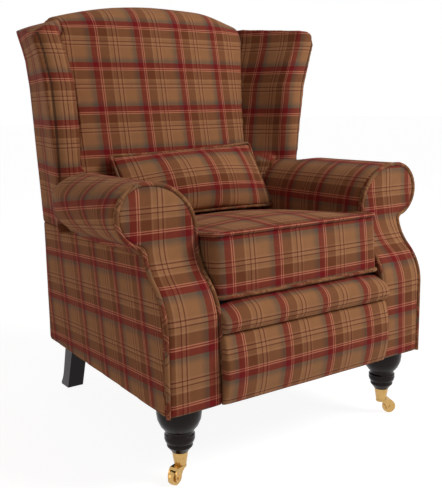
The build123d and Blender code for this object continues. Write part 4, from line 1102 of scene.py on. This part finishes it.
def crowned_back(points, normals):
    """The inside back's crown, and its flanks drawn out to the hollows beside them."""
    x, _, z = points.T
    front = normals[:, 1] < CROWN_FACING
    moved = points.copy()
    moved[:, 1] -= CROWN * dome(x, CROWN_HALF_W) * rise(z, *CROWN_LOW_Z) * rise(z, *CROWN_HIGH_Z) * front
    moved[:, 2] += HIGH_SPOT * bell(x, *HIGH_SPOT_X) * rise(z, *HIGH_SPOT_Z)
    for side in SIDES:
        flank = rise(x * side - np.interp(z, *JUNCTION), *FLANK)
        reach = np.interp(z, HOLLOW_Z, HOLLOW[side]) * (normals[:, 1] < FLANK_FACING)
        moved[:, 0] += side * flank * (reach + FLANK_OVER * (reach > 0))
        moved[:, 1] += FLANK_BACK * flank * reach
    return moved


def settled_wing(side):
    """A wing's cover. Its x, y and z are views of the moved points, so each step sees the ones before it."""

    def shape(points, normals):
        moved = points.copy()
        x, y, z = moved.T
        # outer edge and top
        reach, share = points[:, 0] * side, rise(points[:, 2], *TOP_Z)
        x += side * rise(reach, *EDGE_X) * np.interp(points[:, 2], WING_Z, WING_OUT[side])
        z += WING_UP[side] * share * rise(reach, *TOP_X)
        # hollow on the inside, and the rear edge behind it
        inner = np.interp(z, WING_Z, WING_INNER_X)
        depth = rise(x * side, inner, np.interp(z, *JUNCTION), HOLLOW_MOST)
        ahead = rise(y, *HOLLOW_Y) * (y > WING_FRONT_Y - HOLLOW_LAP)
        x += side * HOLLOW_SHARE * depth * np.interp(z, HOLLOW_Z, HOLLOW[side]) * ahead
        x -= side * REAR_EDGE_IN * rise(y, *REAR_EDGE_Y) * (x * side < REAR_EDGE_X) * rise(z, *REAR_EDGE_Z)
        # foot round the arm's rear end
        foot = rise(y, *FOOT_FRONT_Y) * rise(y, *FOOT_REAR_Y) * rise(z, *FOOT_Z)
        outward = np.clip(FOOT_OUT_TO_X - x * side, 0, FOOT_OUT_MOST) * rise(x * side, *FOOT_OUT_X)
        under = rise(-normals[:, 2], *SKIRT_FACING) * rise(y, *SKIRT_Y) * (z < SKIRT_Z)
        x += side * outward * foot
        y -= FOOT_FORWARD * foot
        # clear of the board
        bare = BOARD_X + BOARD_SLOPE * (BOARD_Y - y) - x * side
        near = (bare < BOARD_MOST) * (y < BOARD_FRONT_Y) * rise(z, *BOARD_Z)
        x += side * np.clip(bare, 0, BOARD_MOST) * near
        z -= SKIRT_DOWN * under + FOOT_DOWN * foot * (z < FOOT_DOWN_Z)
        # seam and fullness
        groove = GROOVE_DEPTH * bell(wing_seam_gap(side)(moved), 0.0, GROOVE_W)
        middle_z, half_height = FULLNESS_Z
        full = FULLNESS * np.clip(1 - np.abs(z - middle_z) / half_height, 0, 1) * bell(x * side, *FULLNESS_X)
        return moved - normals * (groove - full * (normals[:, 1] < FULLNESS_FACING))[:, None]

    return shape


def puckered(points, normals):
    """Cloth drawn in along the seam between the front border and the lip."""
    _, y, z = points.T
    front = y < PUCKER_Y
    near = np.exp(-np.abs(z - LIP_SEAM_Z) / PUCKER_W) * front
    fold = ripple(points * MM * np.array(PUCKER_STRETCH), PUCKER_SCALE, seed=4.0)
    moved = points.copy()
    moved[:, 1] += PUCKER * near * fold + LIP_GROOVE * bell(z, LIP_SEAM_Z, LIP_GROOVE_W) * front
    return moved


def settled_lip(points, normals):
    """The lip's puckers, and its ends sat down."""
    x, y, z = points.T
    moved = puckered(points, normals)
    ends = rise(np.abs(x), *LIP_END_X) ** 2
    moved[:, 2] -= LIP_DOWN * ends * rise(z - LIP_SEAM_Z, *LIP_UPPER) * (y < LIP_Y)
    return moved


def slump(piece):
    """The lumbar cushion's corners settled on the seat, each by its own share of the surface."""
    points = into(lumbar_frame(), read_points(piece.data) / MM)
    right = np.clip(points[:, 0] / LUMBAR_HALF_W / 2 + 0.5, 0, 1)[:, None]
    upper = np.clip(points[:, 1] / LUMBAR_HALF_H / 2 + 0.5, 0, 1)[:, None]
    lower_row, upper_row = (
        np.array(left_end) * (1 - right) + np.array(right_end) * right for left_end, right_end in LUMBAR_SETTLED
    )
    points = points + lower_row * (1 - upper) + upper_row * upper
    write_points(piece.data, moved_by(lumbar_frame(), points) * MM)


# ---------------------------------------------------------------- loose cushions

# How tightly the cloth of a cushion is held at its seams, and how fast that fades, in millimetres
SEAT_HOLD, SEAT_HOLD_W = 1.4, 14.0
LUMBAR_HOLD, LUMBAR_HOLD_W = 1.5, 5.0

# Lowest and highest place of the stuffed seat cushion in its own space: across, back and up
SEAT_ROOM = ((-225.0, -8.0, 0.0), (225.0, CUSHION_DEPTH + 2.0, CUSHION_EDGE_H + 26.0))

STUFFED_CLOTH = {
    "quality": 5, "mass": 0.3, "tension_stiffness": 18, "compression_stiffness": 18, "bending_stiffness": 0.8,
    "use_pressure": True, "vertex_group_mass": "seams", "pin_stiffness": 1.0,
}


def seat_held(points):
    """How firmly each point of the seat cushion is held: fully at the piped edges."""
    x, y, z = into(seat_frame(), points).T
    rim = np.minimum(CUSHION_HALF_W - np.abs(x), np.minimum(y, CUSHION_DEPTH - y))
    near = np.minimum(np.abs(z - CUSHION_EDGE_H), np.abs(z - PIPING_R))
    return np.clip(SEAT_HOLD - np.hypot(np.clip(rim, 0, None), near) / SEAT_HOLD_W, 0, 1)


def seat_room(points):
    """Keeps the stuffed seat cushion inside the arms, the back and the deck."""
    return moved_by(seat_frame(), np.clip(into(seat_frame(), points), *SEAT_ROOM))


def lumbar_held(points):
    """How firmly each point of the lumbar cushion is held: fully at its welt."""
    return np.clip(LUMBAR_HOLD - np.abs(into(lumbar_frame(), points)[:, 2]) / LUMBAR_HOLD_W, 0, 1)


def stuff(piece, stuffing, held, room=None):
    """Swells a cover by cloth simulation, holding its seams, then makes the result its mesh."""
    start = read_points(piece.data)
    pins = piece.vertex_groups.new(name="seams")
    firm = held(start / MM)
    for index in np.nonzero(firm > 0)[0].tolist():
        pins.add([index], float(firm[index]), "REPLACE")
    cloth = piece.modifiers.new("stuffing", "CLOTH")
    for name, value in STUFFED_CLOTH.items():
        setattr(cloth.settings, name, value)
    cloth.settings.uniform_pressure_force = stuffing.pressure
    cloth.settings.effector_weights.gravity = 0.0
    cloth.collision_settings.use_collision = False
    cloth.point_cache.frame_start = 1
    cloth.point_cache.frame_end = stuffing.frames
    scene = bpy.context.scene
    for number in range(1, stuffing.frames + 1):
        scene.frame_set(number)
    apply_modifiers(piece)
    scene.frame_set(1)
    move = read_points(piece.data) - start
    cap = np.minimum(1.0, stuffing.travel / np.maximum(np.linalg.norm(move, axis=1), 1e-9))
    write_points(piece.data, start + move * cap[:, None])
    piece.vertex_groups.clear()
    finer = piece.modifiers.new("finer", "SUBSURF")
    finer.levels = finer.render_levels = 1
    apply_modifiers(piece)
    if room:
        write_points(piece.data, room(read_points(piece.data) / MM) * MM)


def cushion_loop(height):
    """Path of the seat cushion's piping at a height: round corners, straight sides and a bowed front."""
    w, d = CUSHION_HALF_W, CUSHION_DEPTH
    corners = [Vector((x, y, height)) for x, y in ((-w, 0), (w, 0), (w, d), (-w, d))]
    turns = [
        rounded_corner(corners[i - 1], corners[i], corners[(i + 1) % 4], CUSHION_CORNER_R, steps=8)
        for i in range(4)
    ]
    path = []
    for i, (bow, steps) in enumerate(((CUSHION_BOW, 12), (0.0, 10), (0.0, 10), (0.0, 10))):
        path += turns[i] + bowed(turns[i][-1], turns[(i + 1) % 4][0], bow, steps)
    return path


def lumbar_loop():
    """Welt of the lumbar cushion: waisted sides between standing corners."""
    x, y = LUMBAR_HALF_W, LUMBAR_HALF_H + LUMBAR_CORNER
    corners = [Vector(corner) for corner in ((-x, -y, 0), (x, -y, 0), (x, y, 0), (-x, y, 0))]
    sides = [
        bowed(corners[i], corners[(i + 1) % 4], bow, steps=16)
        for i, bow in enumerate((-LUMBAR_CORNER, -LUMBAR_WAIST, -LUMBAR_CORNER, -LUMBAR_WAIST))
    ]
    path = []
    for i, corner in enumerate(corners):
        path += rounded_corner(sides[i - 1][-1], corner, sides[i][0], LUMBAR_CORNER_R) + sides[i]
    return path


# ---------------------------------------------------------------- operators

# Steps of the grid that a flat cover is cut into, in metres: axis, start, end and step
REAR_GRID = ((0, -0.24, 0.25, 0.03), (2, 0.19, 0.96, 0.03))
DUST_GRID = ((0, -0.32, 0.33, 0.04), (1, -0.32, 0.26, 0.04))

# In metres: the outside back's swell, its half width and its waves, and the dust cover's sag
REAR_SWELL, REAR_HALF_W, REAR_WAVE = 0.002, 0.262, 0.0006
REAR_FACING = 0.5
DUST_SAG, DUST_HALF_W, DUST_HALF_D, DUST_MIDDLE_Y = 0.004, 0.3, 0.27, -0.04

WEBBING_EDGE = 0.0008
FACING_CORD_STEP = 9
FACING_CORD_OUT = 1.0


class FIRESIDE_OT_seat_cushion(bpy.types.Operator):
    """Boxed and piped seat cushion, stuffed by cloth simulation"""

    bl_idname = "fireside.seat_cushion"
    bl_label = "Seat Cushion"

    def execute(self, context):
        piece = to_piece(merged_copy("seat_cushion"), "seat_cushion_cover")
        soften(piece, voxel=0.006, rounds=3)
        stuff(piece, context.scene.fireside_stuffing, seat_held, seat_room)
        lay_cloth(piece, on_seat_cushion)
        made = materials()["tartan_wool"]
        finish_piece(piece, "seat_cushion", made, ("seat_cushion",))
        for index, (height, finish, nodes) in enumerate((
            (PIPING_R, "tartan_piping", ("seat_cushion_piping",)), (CUSHION_EDGE_H, "tartan_wool", ()),
        )):
            path = [seat_frame() @ point for point in cushion_loop(height)]
            piping(
                f"seat_piping_{index}", path, PIPING_R, on_seat_cushion, "seat_cushion", nodes, finish=finish
            )
        return {"FINISHED"}


class FIRESIDE_OT_lumbar_cushion(bpy.types.Operator):
    """Loose lumbar cushion with piped edges and pointed corners"""

    bl_idname = "fireside.lumbar_cushion"
    bl_label = "Lumbar Cushion"

    def execute(self, context):
        piece = to_piece(merged_copy("lumbar_cushion"), "lumbar_cushion_cover")
        soften(piece, voxel=0.004, rounds=2)
        stuff(piece, context.scene.fireside_stuffing, lumbar_held)
        lay_cloth(piece, on_lumbar)
        slump(piece)
        made = materials()["tartan_wool"]
        finish_piece(piece, "lumbar_cushion", made, ("lumbar_cushion",))
        path = [lumbar_frame() @ point for point in lumbar_loop()]
        piping(
            "lumbar_piping", path, LUMBAR_PIPING_R, on_lumbar, "lumbar_cushion", ("lumbar_cushion_piping",),
            settle=slump,
        )
        return {"FINISHED"}


class FIRESIDE_OT_arms(bpy.types.Operator):
    """Stuffed arms with their outward scroll"""

    bl_idname = "fireside.arms"
    bl_label = "Arm Padding"

    def execute(self, context):
        voxel = context.scene.fireside_stuffing.voxel
        for side, word in SIDES.items():
            soft_piece(
                f"{word}_arm_cover", f"{word}_arm_pad", on_arm(side), voxel=voxel, rounds=5,
                shape=settled_arm(side), seed=2.0 + side,
            )
        return {"FINISHED"}


class FIRESIDE_OT_facings(bpy.types.Operator):
    """Arm facings with the piping round them"""

    bl_idname = "fireside.facings"
    bl_label = "Arm Facings"

    def execute(self, context):
        inset = PIPING_R / 2
        line = arm_line(inset)
        dense = []
        for (x0, z0), (x1, z1) in zip(line, line[1:]):
            steps = max(1, int(math.hypot(x1 - x0, z1 - z0) / FACING_CORD_STEP))
            dense += [(x0 + (x1 - x0) * s / steps, z0 + (z1 - z0) * s / steps) for s in range(steps)]
        dense.append(line[-1])
        front = FACING_FRONT_Y + inset - FACING_CORD_OUT
        for side, word in SIDES.items():
            soft_piece(
                f"{word}_facing_cover", f"{word}_arm_facing", on_facing(side), voxel=0.0035,
                rounds=4, shape=puffed_facing(side), wave=0.0004, seed=5.0 + side,
            )
            path = [Vector((side * x, front + float(ogee_back(z)), z)) for x, z in dense]
            piping(
                f"{word}_facing_piping", path, PIPING_R, on_facing(side), "chair",
                (f"{word}_arm_facing_piping",), closed=False,
            )
        return {"FINISHED"}


class FIRESIDE_OT_back(bpy.types.Operator):
    """Inside back with its crown and rolled top"""

    bl_idname = "fireside.back"
    bl_label = "Inside Back"

    def execute(self, context):
        soft_piece(
            "inside_back_cover", "inside_back", on_back, voxel=0.006, rounds=5, shape=crowned_back,
            wave=0.0009, seed=8.0,
        )
        return {"FINISHED"}


class FIRESIDE_OT_wings(bpy.types.Operator):
    """Wings with the seam down their front edges"""

    bl_idname = "fireside.wings"
    bl_label = "Wings"

    def execute(self, context):
        for side, word in SIDES.items():
            soft_piece(
                f"{word}_wing_cover", f"{word}_wing_pad", on_wing(side), voxel=0.004, rounds=7,
                shape=settled_wing(side), seed=11.0 + side, seam_gap=wing_seam_gap(side),
            )
        return {"FINISHED"}


class FIRESIDE_OT_front(bpy.types.Operator):
    """Front border and the rolled lip above its seam"""

    bl_idname = "fireside.front"
    bl_label = "Front Border and Lip"

    def execute(self, context):
        voxel = context.scene.fireside_stuffing.voxel
        for node, shape, seed in (("front_border", puckered, 14.0), ("front_lip", settled_lip, 15.0)):
            soft_piece(
                f"{node}_cover", node, on_border(node), voxel=voxel, rounds=5, shape=shape, seed=seed
            )
        return {"FINISHED"}


class FIRESIDE_OT_outsides(bpy.types.Operator):
    """Stretched covers of the outside arms and outside back"""

    bl_idname = "fireside.outsides"
    bl_label = "Outside Covers"

    def execute(self, context):
        for side, word in SIDES.items():
            soft_piece(
                f"{word}_outside_cover", f"{word}_outside_arm", on_panel, voxel=0.0035,
                rounds=3, wave=0.0005, seed=17.0 + side,
            )
        built = merged_copy("outside_back")
        for cuts in REAR_GRID:
            cut_grid(built, *cuts)
        piece = to_piece(built, "outside_back_cover")
        points = read_points(piece.data)
        out = read_normals(piece.data)[:, 1] > REAR_FACING
        swell = REAR_SWELL * dome(points[:, 0], REAR_HALF_W)
        points[:, 1] += (swell + REAR_WAVE * ripple(points, scale=9.0, seed=20.0)) * out
        write_points(piece.data, points)
        lay_cloth(piece, on_rear)
        made = materials()["tartan_wool"]
        finish_piece(piece, "chair", made, ("outside_back",), smooth=False)
        return {"FINISHED"}


class FIRESIDE_OT_under_seat(bpy.types.Operator):
    """Deck lining, black cover under the seat and webbing in the back"""

    bl_idname = "fireside.under_seat"
    bl_label = "Deck, Webbing and Dust Cover"

    def execute(self, context):
        deck = to_piece(merged_copy("seat_deck"), "seat_deck_cover")
        soften(deck, voxel=0.006, rounds=3)
        finish_piece(deck, "chair", materials()["lining"], ("seat_deck",))

        built = merged_copy("dust_cover")
        for cuts in DUST_GRID:
            cut_grid(built, *cuts)
        cover = to_piece(built, "dust_cover_cloth")
        points = read_points(cover.data)
        sag = dome(points[:, 0], DUST_HALF_W) * dome(points[:, 1] - DUST_MIDDLE_Y, DUST_HALF_D)
        points[:, 2] -= DUST_SAG * sag
        write_points(cover.data, points)
        finish_piece(cover, "chair", materials()["lining"], ("dust_cover",))

        built = merged_copy("back_webbing")
        bmesh.ops.bevel(
            built, geom=[e for e in built.edges if e.calc_face_angle(0) > 1], offset=WEBBING_EDGE,
            affect="EDGES", segments=2, profile=0.5, material=-1,
        )
        straps = to_piece(built, "back_webbing_straps")
        finish_piece(straps, "chair", materials()["webbing"], ("back_webbing",), smooth=False)
        return {"FINISHED"}


class FIRESIDE_OT_frame_finish(bpy.types.Operator):
    """Finishes for the beech frame, its springs and the dark rear legs"""

    bl_idname = "fireside.frame_finish"
    bl_label = "Frame Finishes"

    def execute(self, context):
        made = materials()
        slots = {s["node"]: s["material_slot"] for s in frame["record"]["subparts"]}
        for node, piece in frame["nodes"].items():
            if slots.get(node) in ("beech", "dark_wood", "steel", "brass"):
                piece.data.materials.clear()
                piece.data.materials.append(made[slots[node]])
        return {"FINISHED"}


class FIRESIDE_OT_legs(bpy.types.Operator):
    """Turned front legs with bulb, neck, ring and bead"""

    bl_idname = "fireside.legs"
    bl_label = "Turned Front Legs"

    def execute(self, context):
        for side, word in SIDES.items():
            built = bmesh.new()
            knots = [built.verts.new((r * MM, 0.0, z * MM)) for r, z in LEG_PROFILE]
            edges = [built.edges.new(pair) for pair in zip(knots, knots[1:])]
            bmesh.ops.spin(
                built, geom=knots + edges, cent=(0, 0, 0), axis=(0, 0, 1), dvec=(0, 0, 0),
                angle=2 * math.pi, steps=LEG_STEPS, use_merge=True, use_duplicate=False,
            )
            bmesh.ops.remove_doubles(built, verts=built.verts, dist=1e-6)
            bmesh.ops.recalc_face_normals(built, faces=built.faces)
            bmesh.ops.translate(built, verts=built.verts, vec=(side * LEG_X * MM, LEG_Y * MM, 0))
            leg = to_piece(built, f"{word}_turned_leg")
            finish_piece(leg, "chair", materials()["dark_wood"], (f"{word}_front_leg",))
        return {"FINISHED"}


# ---------------------------------------------------------------- stage

WHITE = (1.0, 1.0, 1.0, 1.0)
WARM_WHITE = (1.0, 0.985, 0.96, 1.0)
FLOOR_HALF_W = 30.0
FLOOR_COLOUR = (0.9, 0.9, 0.9, 1.0)

# How bright the floor shows itself to the camera, and by what share
FLOOR_GLOW = 1.3
FLOOR_SHARE = 0.7

# Each lamp's place, aim, size and colour
KEY_LAMP = ((1.9, -2.35, 3.0), (0.0, 0.0, 0.5), 1.8, (1.0, 0.98, 0.95))
FILL_LAMP = ((-3.1, 0.85, 0.9), (0.0, 0.0, 0.45), 1.6, (1.0, 0.72, 0.52))

CAMERA_PLACE = (-1.046, -1.546, 0.756)
CAMERA_LOOK = (0.561, 0.808, -0.180)
CAMERA_ROLL = math.radians(-0.84)
SENSOR_W = 36.0


def plainly_seen(tree):
    """One where a camera, glossy or transmission ray arrives, so that metal shows the background too."""
    rays = tree.nodes.new("ShaderNodeLightPath")
    shown = maths(tree, "MAXIMUM", rays.outputs["Is Camera Ray"], rays.outputs["Is Glossy Ray"])
    return maths(tree, "MAXIMUM", shown, rays.outputs["Is Transmission Ray"])


def shade_by(tree, share, first, second, out):
    """Sends out the second shader by a share, and the first for the rest."""
    pick = add_node(tree, "MixShader", {0: share, 1: first.outputs[0], 2: second.outputs[0]})
    feed(tree, out, {0: pick.outputs[0]})


def light_world(scene, strength):
    """Even light all round, and white where the background is seen."""
    world = scene.world or bpy.data.worlds.new("studio")
    scene.world = world
    world.use_nodes = True
    tree = world.node_tree
    tree.nodes.clear()
    out = tree.nodes.new("ShaderNodeOutputWorld")
    glow = add_node(tree, "Background", {"Color": WARM_WHITE, "Strength": strength})
    seen = add_node(tree, "Background", {"Color": WHITE, "Strength": 1.0})
    shade_by(tree, plainly_seen(tree), glow, seen, out)


def lay_floor():
    """Pale floor that keeps the chair's shadow."""
    built = bmesh.new()
    bmesh.ops.create_grid(built, x_segments=1, y_segments=1, size=FLOOR_HALF_W)
    floor = to_piece(built, "floor")
    material, tree, shader = material_base("floor_paint")
    feed(tree, shader, {"Base Color": FLOOR_COLOUR, "Roughness": 0.9})
    pale = add_node(tree, "Emission", {"Color": WHITE, "Strength": FLOOR_GLOW})
    share = maths(tree, "MULTIPLY", plainly_seen(tree), FLOOR_SHARE)
    shade_by(tree, share, shader, pale, tree.nodes["Material Output"])
    floor.data.materials.append(material)


def hang_lamp(name, power, place, aim, size, colour):
    """A round soft lamp aimed at a place."""
    light = bpy.data.lights.new(name, "AREA")
    light.shape = "DISK"
    light.size = size
    light.energy = power
    light.color = colour
    holder = bpy.data.objects.new(name, light)
    bpy.context.scene.collection.objects.link(holder)
    turn = (Vector(aim) - Vector(place)).to_track_quat("-Z", "Y").to_matrix().to_4x4()
    holder.matrix_world = Matrix.Translation(Vector(place)) @ turn


def set_camera(scene, lens):
    """The camera where the photograph was taken from."""
    camera = bpy.data.cameras.new("camera")
    camera.lens = lens
    camera.sensor_width = SENSOR_W
    eye = bpy.data.objects.new("camera", camera)
    scene.collection.objects.link(eye)
    look = Vector(CAMERA_LOOK).normalized().to_track_quat("-Z", "Y").to_matrix()
    turn = look @ Matrix.Rotation(CAMERA_ROLL, 3, "Z")
    eye.matrix_world = Matrix.Translation(Vector(CAMERA_PLACE)) @ turn.to_4x4()
    scene.camera = eye


class FIRESIDE_OT_stage(bpy.types.Operator):
    """Pale floor, soft lamps and the camera"""

    bl_idname = "fireside.stage"
    bl_label = "Stage"

    def execute(self, context):
        scene = context.scene
        stage = scene.fireside_stage
        scene.view_settings.view_transform = "Standard"
        light_world(scene, stage.sky)
        lay_floor()
        hang_lamp("key", stage.key, *KEY_LAMP)
        hang_lamp("fill", stage.fill, *FILL_LAMP)
        set_camera(scene, stage.lens)
        return {"FINISHED"}


# ---------------------------------------------------------------- panel and start


class FIRESIDE_PT_panel(bpy.types.Panel):
    """Lists the operators that build the chair's pieces, and the settings."""

    bl_label = "Fireside Chair"
    bl_idname = "FIRESIDE_PT_panel"
    bl_space_type = "VIEW_3D"
    bl_region_type = "UI"
    bl_category = "Fireside Chair"

    def draw(self, context):
        for operator in OPERATORS:
            self.layout.operator(operator.bl_idname)
        for name in GROUPS:
            group = getattr(context.scene, name)
            box = self.layout.box()
            for setting in group.__annotations__:
                box.prop(group, setting)


GROUPS = {
    "fireside_check": CheckSettings,
    "fireside_stuffing": StuffingSettings,
    "fireside_finish": FinishSettings,
    "fireside_stage": StageSettings,
}

OPERATORS = (
    FIRESIDE_OT_stage,
    FIRESIDE_OT_frame_finish,
    FIRESIDE_OT_under_seat,
    FIRESIDE_OT_outsides,
    FIRESIDE_OT_back,
    FIRESIDE_OT_wings,
    FIRESIDE_OT_arms,
    FIRESIDE_OT_facings,
    FIRESIDE_OT_front,
    FIRESIDE_OT_seat_cushion,
    FIRESIDE_OT_lumbar_cushion,
    FIRESIDE_OT_legs,
)


def register():
    """Adds the settings, the operators and the panel."""
    for group in GROUPS.values():
        bpy.utils.register_class(group)
    for name, group in GROUPS.items():
        setattr(bpy.types.Scene, name, PointerProperty(type=group))
    for operator in OPERATORS:
        bpy.utils.register_class(operator)
    bpy.utils.register_class(FIRESIDE_PT_panel)


def unregister():
    """Takes the panel, the operators and the settings away."""
    bpy.utils.unregister_class(FIRESIDE_PT_panel)
    for operator in reversed(OPERATORS):
        bpy.utils.unregister_class(operator)
    for name in GROUPS:
        delattr(bpy.types.Scene, name)
    for group in GROUPS.values():
        bpy.utils.unregister_class(group)


def main():
    """Sets the stage and builds each piece in turn."""
    register()
    bpy.ops.fireside.stage()
    bpy.ops.fireside.frame_finish()
    bpy.ops.fireside.under_seat()
    bpy.ops.fireside.outsides()
    bpy.ops.fireside.back()
    bpy.ops.fireside.wings()
    bpy.ops.fireside.arms()
    bpy.ops.fireside.facings()
    bpy.ops.fireside.front()
    bpy.ops.fireside.seat_cushion()
    bpy.ops.fireside.lumbar_cushion()
    bpy.ops.fireside.legs()


if __name__ == "__main__":
    main()
